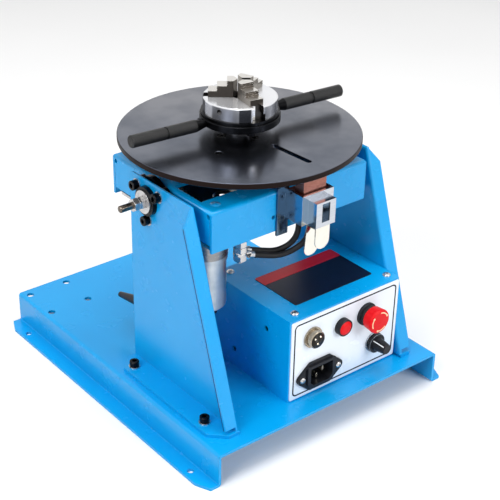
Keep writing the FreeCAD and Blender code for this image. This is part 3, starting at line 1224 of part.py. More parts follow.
def panel_cuts(y0, y1):
    """Everything that is cut through the box's front wall and the panel on it."""
    length = y1 - y0
    gap = 2 * TAPPED_FIT
    cuts = [plate_xz(rectangle(INLET_X, INLET_Z, INLET_W + 2 * gap, INLET_H + 2 * gap), y0, y1)]
    cuts += [rod(Vec(INLET_X + side * INLET_PITCH / 2, y0, INLET_Z), Y_AXIS, M3[0] + TAPPED_FIT, length)
             for side in (-1, 1)]
    cuts.append(rod(Vec(SOCKET_X, y0, SOCKET_Z), Y_AXIS, SOCKET_R - 0.6 + gap, length))
    cuts.append(rod(Vec(LAMP_X, y0, LAMP_Z), Y_AXIS, LAMP_LENS_R - 1.2 + gap, length))
    cuts.append(rod(Vec(STOP_X, y0, STOP_Z), Y_AXIS, STOP_STEM_R + 2.0 + gap, length))
    cuts.append(rod(Vec(DIAL_X, y0, DIAL_Z), Y_AXIS, DIAL_SHAFT_R + 0.5 + gap, length))
    return cuts


def make_box():
    sheet = BOX_SHEET
    wall_front = BOX_FRONT_Y + sheet
    inner_l = BOX_LEFT_X + sheet
    inner_r = BOX_RIGHT_X - sheet
    inner_rear = BOX_REAR_Y - sheet
    shell = box(BOX_LEFT_X, BOX_RIGHT_X, BOX_FRONT_Y, BOX_REAR_Y, BASE_HEIGHT, LID_Z)
    upright = [e for e in shell.Edges if e.BoundBox.ZLength > BOX_HEIGHT / 2]
    shell = shell.makeFillet(1.2, upright)
    shell = shell.cut(box(inner_l, inner_r, wall_front, inner_rear, BASE_HEIGHT + sheet, LID_Z))
    tabs = [box(inner_l, inner_r, y0, y1, LID_Z - sheet, LID_Z)
            for y0, y1 in ((wall_front, BOX_FRONT_Y + LID_TAB), (BOX_REAR_Y - LID_TAB, inner_rear))]
    shell = fuse([shell] + tabs)
    shell = shell.cut(panel_cuts(BOX_FRONT_Y, wall_front))
    shell = holes(shell, lid_screw_points(LID_Z - sheet), Z_AXIS, M4[0] + TAPPED_FIT, sheet)
    floor = [Vec(p.x, p.y, BASE_HEIGHT) for p in box_screw_points()]
    shell = holes(shell, floor, Z_AXIS, M4[0] + HOLE_GAP, sheet)
    side_holes = [Vec(BOX_LEFT_X, y, z) for y, z in CABLE_HOLES]
    NODES["control_box"] = holes(shell, side_holes, X_AXIS, CABLE_HOLE_R, sheet)

    lid = plate_xy(rectangle(BOX_MID_X, (BOX_FRONT_Y + BOX_REAR_Y) / 2, BOX_WIDTH, BOX_DEPTH, 1.5),
                   LID_Z, BOX_TOP_Z)
    NODES["box_lid"] = holes(lid, lid_screw_points(LID_Z), Z_AXIS, M4[0] + HOLE_GAP, LID_SHEET)
    lid_screws = [pan_screw(p, Z_AXIS, M4, LID_SHEET + sheet + 3) for p in lid_screw_points(BOX_TOP_Z)]
    floor_screws = [cap_screw(p, Z_AXIS, M4, sheet + BASE_SHEET + 1) for p in box_screw_points()]
    NODES["m4_screws"] = lid_screws + floor_screws
    panel_z = BASE_HEIGHT + (LID_Z - BASE_HEIGHT) / 2 + 0.6
    panel = plate_xz(rectangle(BOX_MID_X, panel_z, PANEL_WIDTH, PANEL_HEIGHT, 1.5), PANEL_Y, BOX_FRONT_Y)
    NODES["panel_plate"] = panel.cut(panel_cuts(PANEL_Y, BOX_FRONT_Y))


def make_inlet():
    ear = INLET_FLANGE_W / 2
    half_h = INLET_FLANGE_H / 2
    face_y = PANEL_Y - INLET_FLANGE
    mouth_y = face_y - INLET_COLLAR
    flange = plate_xz([(INLET_X - ear, INLET_Z, INLET_EAR_R), (INLET_X - INLET_FLAT, INLET_Z - half_h, 2),
                       (INLET_X + INLET_FLAT, INLET_Z - half_h, 2), (INLET_X + ear, INLET_Z, INLET_EAR_R),
                       (INLET_X + INLET_FLAT, INLET_Z + half_h, 2), (INLET_X - INLET_FLAT, INLET_Z + half_h, 2)],
                      face_y, PANEL_Y)
    rear = face_y + INLET_DEPTH + INLET_WALL
    body = plate_xz(rectangle(INLET_X, INLET_Z, INLET_W, INLET_H), PANEL_Y, rear)
    collar = plate_xz(inlet_outline(INLET_COLLAR_W / 2, INLET_COLLAR_H / 2, INLET_CLIP + 1.0), mouth_y, face_y)
    cavity = plate_xz(inlet_outline(INLET_W / 2 - INLET_WALL, INLET_H / 2 - INLET_WALL, INLET_CLIP),
                      mouth_y, face_y + INLET_DEPTH)
    inlet = fuse([flange, body, collar]).cut(cavity)
    screw_seats = [Vec(INLET_X + side * INLET_PITCH / 2, face_y, INLET_Z) for side in (-1, 1)]
    NODES["mains_inlet"] = holes(inlet, screw_seats, Y_AXIS, M3[0] + HOLE_GAP, INLET_FLANGE)
    grip = INLET_FLANGE + PANEL_SHEET + BOX_SHEET + 2
    NODES["inlet_screws"] = [pan_screw(p, Y_AXIS * -1, M3, grip) for p in screw_seats]
    floor_y = face_y + INLET_DEPTH
    CONTACT_PINS.extend([box(INLET_X + dx - BLADE_W / 2, INLET_X + dx + BLADE_W / 2, floor_y - BLADE_L, floor_y,
                             INLET_Z + dz - BLADE_H / 2, INLET_Z + dz + BLADE_H / 2) for dx, dz in INLET_BLADES])


def inlet_outline(half_w, half_h, clip):
    """The inlet's mouth: its two lower corners are cut off at 45 degrees."""
    left = INLET_X - half_w
    right = INLET_X + half_w
    low = INLET_Z - half_h
    high = INLET_Z + half_h
    return [(left, low + clip, 0), (left + clip, low, 0), (right - clip, low, 0), (right, low + clip, 0),
            (right, high, 0.8), (left, high, 0.8)]


def make_socket():
    place = Vec(SOCKET_X, PANEL_Y, SOCKET_Z)
    forward = Y_AXIS * -1
    back = PANEL_SHEET + BOX_SHEET + 6
    thread = SOCKET_R - 0.6
    profile = [(SOCKET_BORE_R, -back), (thread, -back), (thread, 0), (SOCKET_FLANGE_R, 0), (SOCKET_FLANGE_R, 1.6),
               (SOCKET_R, 1.6), (SOCKET_R, SOCKET_PROUD - 0.5), (SOCKET_R - 0.5, SOCKET_PROUD),
               (SOCKET_BORE_R, SOCKET_PROUD)]
    shell = turned(profile, place, forward)
    insert = rod(place - forward * back, forward, SOCKET_BORE_R, back)
    NODES["pedal_socket"] = fuse([shell, insert])
    pins = [Vec(SOCKET_X + 3.2 * math.cos(math.radians(a)), PANEL_Y, SOCKET_Z + 3.2 * math.sin(math.radians(a)))
            for a in (90, 210, 330)]
    CONTACT_PINS.extend([rod(p, forward, 0.9, 2.4) for p in pins])


def make_lamp():
    place = Vec(LAMP_X, PANEL_Y, LAMP_Z)
    forward = Y_AXIS * -1
    bore = LAMP_LENS_R - 1.2
    profile = [(bore - 1.2, -12), (bore, -12), (bore, 0), (LAMP_R, 0), (LAMP_R, LAMP_PROUD - 1.4),
               (LAMP_R - 0.6, LAMP_PROUD - 1.0), (LAMP_LENS_R + TAPPED_FIT, LAMP_PROUD - 1.0),
               (LAMP_LENS_R + TAPPED_FIT, 2.0), (bore - 1.2, 2.0)]
    NODES["lamp_bezel"] = turned(profile, place, forward)
    lens_profile = [(0, 2.0), (LAMP_LENS_R, 2.0), (LAMP_LENS_R, LAMP_PROUD - 1.2), (LAMP_LENS_R - 1.5, LAMP_PROUD - 0.4),
                    (LAMP_LENS_R - 3.4, LAMP_PROUD), (0, LAMP_PROUD)]
    NODES["lamp_lens"] = turned(lens_profile, place, forward)


def make_stop():
    place = Vec(STOP_X, PANEL_Y, STOP_Z)
    forward = Y_AXIS * -1
    stem_bore = STOP_STEM_R + RUNNING_FIT
    neck = stem_bore + 1.9
    back = PANEL_SHEET + BOX_SHEET
    collar = turned([(stem_bore, -back), (neck, -back), (neck, 0), (STOP_COLLAR_R, 0),
                     (STOP_COLLAR_R, STOP_COLLAR - 0.8), (STOP_COLLAR_R - 0.8, STOP_COLLAR),
                     (stem_bore, STOP_COLLAR)], place, forward)
    rear = PANEL_Y + back
    block = box(STOP_X - STOP_BLOCK / 2, STOP_X + STOP_BLOCK / 2, rear, rear + STOP_BLOCK_DEPTH,
                STOP_Z - STOP_BLOCK / 2, STOP_Z + STOP_BLOCK / 2)
    block = block.cut(rod(Vec(STOP_X, rear, STOP_Z), Y_AXIS, stem_bore, STOP_TRAVEL + 3.4))
    NODES["stop_switch"] = fuse([collar, block])
    under = STOP_COLLAR + STOP_TRAVEL + BODY_GAP
    NODES["stop_plunger"] = rod(Vec(STOP_X, rear + 2.6, STOP_Z), forward, STOP_STEM_R, under + back + 2.6)
    head = turned([(0, under), (STOP_SKIRT_R - 0.6, under), (STOP_SKIRT_R, under + 0.6),
                   (STOP_HEAD_R, STOP_PROUD - 2.2), (STOP_HEAD_R - 0.3, STOP_PROUD - 1.0),
                   (STOP_HEAD_R - 1.2, STOP_PROUD - 0.3), (0, STOP_PROUD)], place, forward)
    NODES["stop_button"] = head


def make_dial():
    place = Vec(DIAL_X, PANEL_Y, DIAL_Z)
    forward = Y_AXIS * -1
    rear = PANEL_Y + PANEL_SHEET + BOX_SHEET
    bush_r = DIAL_SHAFT_R + 0.5
    bore = DIAL_SHAFT_R + RUNNING_FIT
    pot = fuse([rod(Vec(DIAL_X, rear, DIAL_Z), Y_AXIS, DIAL_POT_R, DIAL_POT),
                rod(Vec(DIAL_X, PANEL_Y - DIAL_NUT, DIAL_Z), Y_AXIS, bush_r, rear - PANEL_Y + DIAL_NUT)])
    pot = fuse([pot, nut(place, forward, DIAL_NUT_FLATS, DIAL_NUT, DIAL_SHAFT_R)])
    NODES["speed_potentiometer"] = pot.cut(rod(Vec(DIAL_X, rear + 4, DIAL_Z), forward, bore, 20))
    skirt = DIAL_NUT + BODY_GAP
    knob = turned([(0, skirt), (DIAL_SKIRT_R, skirt), (DIAL_SKIRT_R, skirt + DIAL_SKIRT - 0.5),
                   (DIAL_SKIRT_R - 0.5, skirt + DIAL_SKIRT), (DIAL_R, skirt + DIAL_SKIRT),
                   (DIAL_TOP_R, DIAL_PROUD - 0.5), (DIAL_TOP_R - 0.5, DIAL_PROUD), (0, DIAL_PROUD)], place, forward)
    shaft = rod(Vec(DIAL_X, rear + 3.8, DIAL_Z), forward, DIAL_SHAFT_R, rear + 3.8 - PANEL_Y + skirt + 1)
    NODES["speed_knob"] = fuse([knob, shaft])


def make_electronics():
    floor = BASE_HEIGHT + BOX_SHEET
    supply_x = BOX_LEFT_X + SUPPLY_INSET_X
    supply_y = BOX_REAR_Y - SUPPLY_INSET_Y
    half_ear = SUPPLY_WIDTH / 2 + SUPPLY_EAR
    ears = plate_xy(rectangle(supply_x, supply_y, 2 * half_ear, SUPPLY_DEPTH * 0.6), floor, floor + SUPPLY_EAR_THICK)
    block = plate_xy(rectangle(supply_x, supply_y, SUPPLY_WIDTH, SUPPLY_DEPTH, 1.5), floor, floor + SUPPLY_HEIGHT)
    NODES["power_supply"] = fuse([block, ears])
    board_x = BOX_RIGHT_X - BOARD_INSET_X
    board_y = BOX_REAR_Y - BOARD_INSET_Y
    under = floor + BOARD_POST
    top = under + BOARD
    reach_x = BOARD_WIDTH / 2 - BOARD_POST_INSET
    reach_y = BOARD_DEPTH / 2 - BOARD_POST_INSET
    pieces = [rod(Vec(board_x + sx * reach_x, board_y + sy * reach_y, floor), Z_AXIS, BOARD_POST_R, BOARD_POST)
              for sx in (-1, 1) for sy in (-1, 1)]
    pieces.append(plate_xy(rectangle(board_x, board_y, BOARD_WIDTH, BOARD_DEPTH), under, top))
    for dx, dy, width, depth, height in BOARD_CHIPS:
        pieces.append(plate_xy(rectangle(board_x + dx * BOARD_WIDTH, board_y + dy * BOARD_DEPTH,
                                         width * BOARD_WIDTH, depth * BOARD_DEPTH), top, top + height * BOARD_WIDTH))
    NODES["drive_board"] = fuse(pieces)


def export():
    os.makedirs("parts", exist_ok=True)
    triangles = 0
    for name, content in NODES.items():
        shape = Part.makeCompound(content) if isinstance(content, list) else content
        solids = shape.Solids
        if not isinstance(content, list):
            shape = solids[0]
        if len(solids) != (len(content) if isinstance(content, list) else 1) or not shape.isValid():
            print("check", name, len(solids), shape.isValid())
        triangles += len(shape.tessellate(0.2)[1])
        shape.exportStep("parts/%s.step" % name)
    print(len(NODES), "nodes", triangles, "triangles")


make_base()
make_supports()
make_tray()
make_motor_plate()
make_trunnions()
make_housing()
make_table()
make_spindle()
make_gears()
make_motor()
make_handle()
make_chuck()
make_chuck_body()
make_scroll()
make_jaws()
make_brush()
make_earth_lead()
make_box()
make_inlet()
make_socket()
make_lamp()
make_stop()
make_dial()
make_electronics()
NODES["cradle_screws"] = CRADLE_SCREWS
NODES["cradle_nuts"] = CRADLE_NUTS
NODES["table_screws"] = TABLE_SCREWS
NODES["contact_pins"] = CONTACT_PINS
export()
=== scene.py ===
"""Looks of the bench welding positioner: finishes, trim, leads, lights and camera.

Metres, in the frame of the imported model.  X runs right across the front, Y to the rear, Z up.
Trim is laid out in millimetres; solid() and lead() turn it into metres.
"""
import bpy
import math
from mathutils import Matrix, Vector


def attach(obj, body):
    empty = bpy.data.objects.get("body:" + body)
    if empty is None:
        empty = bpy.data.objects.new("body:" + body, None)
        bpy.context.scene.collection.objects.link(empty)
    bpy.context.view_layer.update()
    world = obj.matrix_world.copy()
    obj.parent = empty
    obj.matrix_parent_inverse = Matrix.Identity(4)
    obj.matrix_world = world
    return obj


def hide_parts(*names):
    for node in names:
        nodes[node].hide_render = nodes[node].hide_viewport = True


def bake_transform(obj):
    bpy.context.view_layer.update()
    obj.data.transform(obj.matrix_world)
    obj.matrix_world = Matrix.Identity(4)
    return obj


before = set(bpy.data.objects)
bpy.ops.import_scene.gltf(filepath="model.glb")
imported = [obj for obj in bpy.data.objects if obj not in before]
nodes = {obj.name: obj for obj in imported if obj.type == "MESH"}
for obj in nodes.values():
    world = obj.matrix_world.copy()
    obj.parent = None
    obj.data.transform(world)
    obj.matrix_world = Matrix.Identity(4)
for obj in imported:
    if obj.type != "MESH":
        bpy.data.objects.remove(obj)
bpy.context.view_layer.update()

MM = 0.001
TABLE_AXIS = (0, -24.5 * MM, 0)
TABLE_RIM = (101.9 * MM, 102.3 * MM)        # where the faced top gives way to the rim's scale
TABLE_REFLECTION_FADE = (-70 * MM, 120 * MM)           # painted reflection: the face darkens towards the camera's side over this stretch
TOWARDS_CAMERA = (-0.62, -0.78, 0)
CHUCK_TOP = 264.05 * MM
CHUCK_WALL = (30.9 * MM, 31.1 * MM)
CHUCK_SLOT_REACH = 30.8 * MM
# painted reflection bands on the chuck's side: share of a turn from the left, going round by the front, and grey
# level
CHUCK_REFLECTION_BANDS = ((0.010, 230), (0.016, 150), (0.050, 128), (0.100, 122), (0.125, 140), (0.1365, 156),
               (0.1385, 58), (0.188, 52), (0.192, 222), (0.240, 212), (0.255, 150), (0.285, 205),
               (0.330, 120), (0.380, 190), (0.500, 205), (0.620, 120), (0.740, 200), (0.860, 110),
               (0.893, 64), (0.955, 70), (0.962, 238))
# jaw flanks that face this way get the darkest painted shade
SHADED_FLANK_SIDE = math.radians(-128.6)
JAW_ANGLE = 98.6                            # degrees; jaw 1 points this far clockwise of right
JAW_SECTOR = 60.0                           # degrees to each side of a jaw
LEVER_SHIFT = (-0.002135, 0.024407, -0.24615)
LEVER_TURN = math.radians(5.0)
KNURL_STARTS = 12.0
KNURL_PITCH = 1.5 * MM
KNURL_INNER_END = 44.0 * MM
HOLDER_WINGS_Y = -95.8 * MM             # the wings lie behind this
WING_SCREWS_Y = -93.6 * MM              # only the wings' screws lie in front of this

# millimetres
PANEL_FACE = -136.0
LID_FACE = 110.4
TRAY_TOP = 208.5
SUPPORT_TOP = (-83.4, 213.0)                # y and z of a support's front edge
SUPPORT_FOOT = (-144.0, 31.0)
FLANGE_EDGE_X = 104.0
FLANGE_TAPER = 14.8                         # from the top to the flange's full width
FLANGE_RELIEF = 7.0                         # from the flange's end to the base
SOCKET_AT = (-9.0, 88.6)
STOP_AT = (51.8, 88.4)
KNOB_AT = (63.0, 55.9)
PILLAR_REACH = (70.0, 58.0)
TRAY_WINDOW = ((-77.2, -37.0), (-73.2, -38.2), (203.0, 212.0))
LEAD_DIAMETER = 5.0


# ---- node materials -------------------------------------------------------------------------
def srgb(red, green, blue):
    """Linear colour of an 8-bit display colour."""
    def linear(value):
        value = value / 255
        return value / 12.92 if value <= 0.04045 else ((value + 0.055) / 1.055) ** 2.4
    return (linear(red), linear(green), linear(blue), 1.0)


class Finish:
    """A Principled material whose textures follow the object's own coordinates."""

    def __init__(self, name, colour, roughness, metallic=0.0, specular=0.5):
        self.material = bpy.data.materials.new(name)
        self.material.use_nodes = True
        self.tree = self.material.node_tree
        self.shader = self.tree.nodes["Principled BSDF"]
        self.colour = colour
        self.roughness = roughness
        self.set("Base Color", colour)
        self.set("Roughness", roughness)
        self.set("Metallic", metallic)
        self.set("Specular IOR Level", specular)
        coordinates = self.node("ShaderNodeTexCoord")
        self.place = coordinates.outputs["Object"]
        self.facing = coordinates.outputs["Normal"]
        self.normal = None

    def set(self, socket, value):
        self.shader.inputs[socket].default_value = value

    def node(self, kind, **settings):
        made = self.tree.nodes.new(kind)
        for name, value in settings.items():
            setattr(made, name, value)
        return made

    def link(self, output, target):
        self.tree.links.new(output, target)

    def feed(self, sockets, values):
        """Links each value that is another node's output, and sets each that is plain."""
        for socket, value in zip(sockets, values):
            if isinstance(value, bpy.types.NodeSocket):
                self.link(value, socket)
            else:
                socket.default_value = value

    def maths(self, operation, *values):
        made = self.node("ShaderNodeMath", operation=operation)
        self.feed(made.inputs, values)
        return made.outputs[0]

    def vector(self, operation, *values):
        made = self.node("ShaderNodeVectorMath", operation=operation)
        self.feed(made.inputs, values)
        return made.outputs["Value" if operation in ("LENGTH", "DOT_PRODUCT") else "Vector"]

    def parts(self, vector):
        made = self.node("ShaderNodeSeparateXYZ")
        self.link(vector, made.inputs[0])
        return made.outputs["X"], made.outputs["Y"], made.outputs["Z"]

    def mixed(self, factor, first, second, blend="MIX"):
        made = self.node("ShaderNodeMix", data_type="RGBA", blend_type=blend)
        self.feed((made.inputs[0], made.inputs[6], made.inputs[7]), (factor, first, second))
        return made.outputs[2]

    def mapped(self, scale=(1, 1, 1), rotation=(0, 0, 0), shift=(0, 0, 0)):
        made = self.node("ShaderNodeMapping")
        for socket, value in (("Scale", scale), ("Rotation", rotation), ("Location", shift)):
            made.inputs[socket].default_value = value
        self.link(self.place, made.inputs["Vector"])
        return made.outputs["Vector"]

    def noise(self, scale, detail=2.0, where=None):
        made = self.node("ShaderNodeTexNoise")
        made.inputs["Scale"].default_value = scale
        made.inputs["Detail"].default_value = detail
        self.link(where or self.place, made.inputs["Vector"])
        return made.outputs["Fac"]

    def spread(self, source, low, high, start=0.3, end=0.7):
        """Maps start to low and end to high, and holds beyond them."""
        made = self.node("ShaderNodeMapRange")
        self.feed(made.inputs, (source, start, end, low, high))
        return made.outputs["Result"]

    def round_axis(self):
        """Distance from the table's axis, the angle round it in degrees, and the height."""
        from_axis = self.vector("SUBTRACT", self.place, TABLE_AXIS)
        across, back, height = self.parts(from_axis)
        distance = self.vector("LENGTH", self.vector("MULTIPLY", from_axis, (1, 1, 0)))
        return distance, self.maths("DEGREES", self.maths("ARCTAN2", back, across)), height

    def ring_grain(self, distance, pitch):
        """Noise that only changes with the distance from an axis."""
        along = self.node("ShaderNodeCombineXYZ")
        self.link(distance, along.inputs["X"])
        return self.noise(1.0 / pitch, 2.0, along.outputs[0])

    def radial(self, amount):
        """Stretches the highlights round the object's upright axis, as on a turned face."""
        self.set("Anisotropic", amount)
        tangent = self.node("ShaderNodeTangent", direction_type="RADIAL", axis="Z")
        self.link(tangent.outputs["Tangent"], self.shader.inputs["Tangent"])

    def paint(self, colour):
        self.link(colour, self.shader.inputs["Base Color"])

    def vary_colour(self, source, other, start=0.3, end=0.7):
        self.paint(self.mixed(self.spread(source, 0.0, 1.0, start, end), self.colour, other))

    def vary_roughness(self, source, amount):
        varied = self.spread(source, self.roughness - amount, self.roughness + amount)
        self.link(varied, self.shader.inputs["Roughness"])

    def bump(self, source, strength, distance):
        made = self.node("ShaderNodeBump")
        made.inputs["Strength"].default_value = strength
        made.inputs["Distance"].default_value = distance
        self.link(source, made.inputs["Height"])
        if self.normal is not None:
            self.link(self.normal, made.inputs["Normal"])
        self.normal = made.outputs["Normal"]
        self.link(self.normal, self.shader.inputs["Normal"])

    def soft_edges(self, radius):
        bevel = self.node("ShaderNodeBevel", samples=4)
        bevel.inputs["Radius"].default_value = radius
        self.normal = bevel.outputs["Normal"]
        self.link(self.normal, self.shader.inputs["Normal"])


def powder_coat(name, colour, darker):
    """Smooth sprayed and baked paint with a faint orange peel."""
    finish = Finish(name, colour, 0.26, specular=0.4)
    finish.soft_edges(0.5 * MM)
    finish.vary_colour(finish.noise(14.0), darker)
    finish.vary_roughness(finish.noise(60.0), 0.02)
    finish.bump(finish.noise(700.0, 1.0), 0.015, 0.05 * MM)
    return finish.material


def brushed_metal(name, colour, roughness, direction, darker):
    """Metal with fine scratches drawn along one axis."""
    finish = Finish(name, colour, roughness, metallic=1.0)
    finish.soft_edges(0.2 * MM)
    grain = finish.noise(1.0, 3.0, finish.mapped(direction))
    finish.vary_colour(grain, darker)
    finish.vary_roughness(grain, roughness * 0.3)
    finish.bump(grain, 0.15, 0.05 * MM)
    return finish.material


def turned_metal(name, colour, roughness, darker):
    """Metal faced on a lathe: fine rings round the table's axis."""
    finish = Finish(name, colour, roughness, metallic=1.0)
    finish.soft_edges(0.25 * MM)
    rings = finish.ring_grain(finish.round_axis()[0], 0.35 * MM)
    finish.vary_colour(rings, darker)
    finish.bump(rings, 0.1, 0.05 * MM)
    finish.vary_roughness(finish.noise(22.0, 3.0), roughness * 0.25)
    return finish.material


def plain_metal(name, colour, roughness, darker):
    finish = Finish(name, colour, roughness, metallic=1.0)
    finish.soft_edges(0.2 * MM)
    finish.vary_colour(finish.noise(180.0, 3.0), darker)
    finish.vary_roughness(finish.noise(90.0), roughness * 0.3)
    return finish.material


def moulded(name, colour, roughness, lighter, grain=1500.0, strength=0.1, specular=0.2):
    """Moulded plastic or rubber with a fine grain."""
    finish = Finish(name, colour, roughness, specular=specular)
    finish.soft_edges(0.25 * MM)
    finish.vary_colour(finish.noise(120.0), lighter, 0.45, 0.8)
    finish.bump(finish.noise(grain, 1.0), strength, 0.05 * MM)
    return finish.material


def table_finish():
    """Hot-rolled plate, faced and blued; a painted reflection darkens and blues the face towards the camera's
    side, and the rim keeps the brown-black scale.
    """
    finish = Finish("blued_table", srgb(134, 135, 141), 0.23, metallic=1.0)
    finish.soft_edges(0.3 * MM)
    finish.radial(0.45)
    distance = finish.round_axis()[0]
    clouds = finish.noise(26.0, 3.0)
    face = finish.mixed(finish.spread(clouds, 0.0, 1.0, 0.35, 0.7), finish.colour, srgb(98, 102, 112))
    # painted reflection: the face is darkened and blued towards the camera's side
    reflection_fade = finish.spread(finish.vector("DOT_PRODUCT", finish.place, TOWARDS_CAMERA), 0.0, 1.0, *TABLE_REFLECTION_FADE)
    reflection_faded = finish.mixed(reflection_fade, face, (0.56, 0.62, 0.72, 1), blend="MULTIPLY")
    rim = finish.spread(distance, 0.0, 1.0, *TABLE_RIM)
    finish.paint(finish.mixed(rim, reflection_faded, srgb(34, 27, 26)))
    rim_roughness = finish.maths("MULTIPLY", rim, 0.25)
    roughness = finish.maths("ADD", finish.spread(clouds, 0.19, 0.27), rim_roughness)
    finish.link(roughness, finish.shader.inputs["Roughness"])
    finish.bump(finish.ring_grain(distance, 0.5 * MM), 0.05, 0.05 * MM)
    streaks = finish.noise(1.0, 3.0, finish.mapped((14.0, 220.0, 1.0), (0, 0, 0.5)))
    finish.bump(streaks, 0.03, 0.05 * MM)
    return finish.material


def chuck_finish():
    """Ground and polished steel: rings on the face, painted reflection bands round the side, and painted shade on
    the slots' walls.
    """
    finish = Finish("chuck_ground_steel", srgb(222, 223, 226), 0.2, metallic=0.72)
    finish.soft_edges(0.25 * MM)
    finish.radial(0.5)
    distance, angle, _ = finish.round_axis()
    # painted reflections: light and dark bands by angle round the side, which turn with the table
    ramp = finish.node("ShaderNodeValToRGB")
    finish.link(finish.spread(angle, 0.0, 1.0, -180.0, 180.0), ramp.inputs[0])
    elements = ramp.color_ramp.elements
    for element in elements:
        element.color = srgb(238, 239, 244)
    for place, level in CHUCK_REFLECTION_BANDS:
        elements.new(place).color = srgb(level, level + 2, level + 8)
    side = finish.spread(distance, 0.0, 1.0, *CHUCK_WALL)
    reflection_banded = finish.mixed(side, finish.colour, ramp.outputs[0])
    # painted shade on the slots' upright walls
    upright = finish.maths("LESS_THAN", finish.maths("ABSOLUTE", finish.parts(finish.facing)[2]), 0.4)
    within = finish.maths("LESS_THAN", distance, CHUCK_SLOT_REACH)
    slots = finish.maths("MULTIPLY", upright, within)
    finish.paint(finish.mixed(slots, reflection_banded, srgb(44, 42, 42)))
    finish.bump(finish.ring_grain(distance, 0.4 * MM), 0.08, 0.05 * MM)
    finish.vary_roughness(finish.noise(22.0, 3.0), 0.04)
    return finish.material


def knurled_finish():
    """Black steel whose grips are cut with crossed lines round the levers' common axis; the lines are painted
    lighter, as a painted highlight on the knurl.
    """
    finish = Finish("knurled_lever", srgb(16, 16, 17), 0.4, metallic=1.0)
    finish.soft_edges(0.25 * MM)
    along, across, up = finish.parts(finish.mapped(rotation=(0, 0, LEVER_TURN), shift=LEVER_SHIFT))
    turns = finish.maths("MULTIPLY", finish.maths("ARCTAN2", across, up), KNURL_STARTS)
    run = finish.maths("MULTIPLY", along, math.pi / KNURL_PITCH)
    waves = [finish.maths("ABSOLUTE", finish.maths("SINE", finish.maths(way, turns, run)))
             for way in ("ADD", "SUBTRACT")]
    grip = finish.maths("GREATER_THAN", finish.maths("ABSOLUTE", along), KNURL_INNER_END)
    cut = finish.maths("MULTIPLY", finish.maths("MINIMUM", *waves), grip)
    # painted highlight: the cut lines are coloured lighter than the black steel
    finish.vary_colour(cut, srgb(92, 92, 92), 0.45, 0.95)
    finish.bump(cut, 0.6, 0.35 * MM)
    return finish.material


def jaw_finish():
    """Ground steel with painted light and shade: painted highlights on the tops, painted shade on the flanks, on
    the outward risers and below the chuck's face, and a painted highlight strip on the low end.
    """
    finish = Finish("jaw_steel", srgb(214, 211, 206), 0.30, metallic=1.0)
    finish.soft_edges(0.2 * MM)
    _, angle, height = finish.round_axis()
    # painted shade: the flanks are grey, and darker the more they face the shaded side
    flank_shading = finish.vector("DOT_PRODUCT", finish.facing, (math.cos(SHADED_FLANK_SIDE), math.sin(SHADED_FLANK_SIDE), 0))
    flank_shade = finish.mixed(finish.spread(flank_shading, 0.0, 1.0, 0.5, 0.98), srgb(150, 145, 138), srgb(66, 62, 58))
    # painted shade below the chuck's face, with a painted highlight strip on one side of each jaw
    low_end = finish.maths("LESS_THAN", height, CHUCK_TOP)
    low = finish.mixed(low_end, flank_shade, srgb(60, 58, 56))
    in_sector = finish.maths("WRAP", finish.maths("ADD", angle, JAW_ANGLE), -JAW_SECTOR, JAW_SECTOR)
    highlight_strip = finish.maths("MULTIPLY", low_end, finish.maths("LESS_THAN", in_sector, -3.0))
    # painted highlight on the upward faces
    lit_top = finish.maths("GREATER_THAN", finish.parts(finish.facing)[2], 0.6)
    lit = finish.mixed(finish.maths("MAXIMUM", highlight_strip, lit_top), low, finish.colour)
    # painted shade on the risers that face outward
    from_axis = finish.vector("SUBTRACT", finish.place, TABLE_AXIS)
    outward = finish.vector("NORMALIZE", finish.vector("MULTIPLY", from_axis, (1, 1, 0)))
    facing_out = finish.maths("GREATER_THAN", finish.vector("DOT_PRODUCT", outward, finish.facing), 0.75)
    shaded_riser = finish.maths("MULTIPLY", facing_out, finish.maths("GREATER_THAN", height, CHUCK_TOP))
    finish.paint(finish.mixed(shaded_riser, lit, srgb(52, 48, 44)))
    finish.vary_roughness(finish.noise(120.0, 3.0), 0.05)
    finish.bump(finish.noise(1.0, 2.0, finish.mapped((300, 300, 2500))), 0.1, 0.04 * MM)
    return finish.material


def holder_finish():
    """Bent zinc-plated sheet: mirror-like, with a painted blue reflection of the tray on its left faces and
    painted blue shade on its wings.
    """
    finish = Finish("holder_sheet", srgb(200, 204, 210), 0.18, metallic=1.0)
    finish.soft_edges(0.2 * MM)
    leftward = finish.maths("LESS_THAN", finish.parts(finish.facing)[0], -0.7)
    shaded_wing = finish.maths("GREATER_THAN", finish.parts(finish.place)[1], HOLDER_WINGS_Y)
    grain = finish.noise(1.0, 3.0, finish.mapped((60, 60, 900)))
    face = finish.mixed(finish.spread(grain, 0.0, 1.0), finish.colour, srgb(184, 189, 198))
    # painted reflection of the blue tray on the left faces
    side = finish.mixed(leftward, face, srgb(140, 164, 184))
    # painted blue shade on the wings
    finish.paint(finish.mixed(shaded_wing, side, srgb(96, 118, 140)))
    finish.vary_roughness(grain, 0.05)
    finish.bump(grain, 0.15, 0.05 * MM)
    return finish.material


def cradle_screw_finish():
    """Blackened screws, but for the plated countersunk ones in the brush holder's wings, which get the wings'
    painted blue shade.
    """
    finish = Finish("cradle_screw_steel", srgb(36, 37, 40), 0.3, metallic=1.0)
    finish.soft_edges(0.2 * MM)
    shaded_wing = finish.maths("LESS_THAN", finish.parts(finish.place)[1], WING_SCREWS_Y)
    # painted shade: the wings' screws take the wings' dim blue
    finish.paint(finish.mixed(shaded_wing, finish.colour, srgb(88, 108, 130)))
    finish.vary_roughness(finish.noise(90.0), 0.08)
    return finish.material


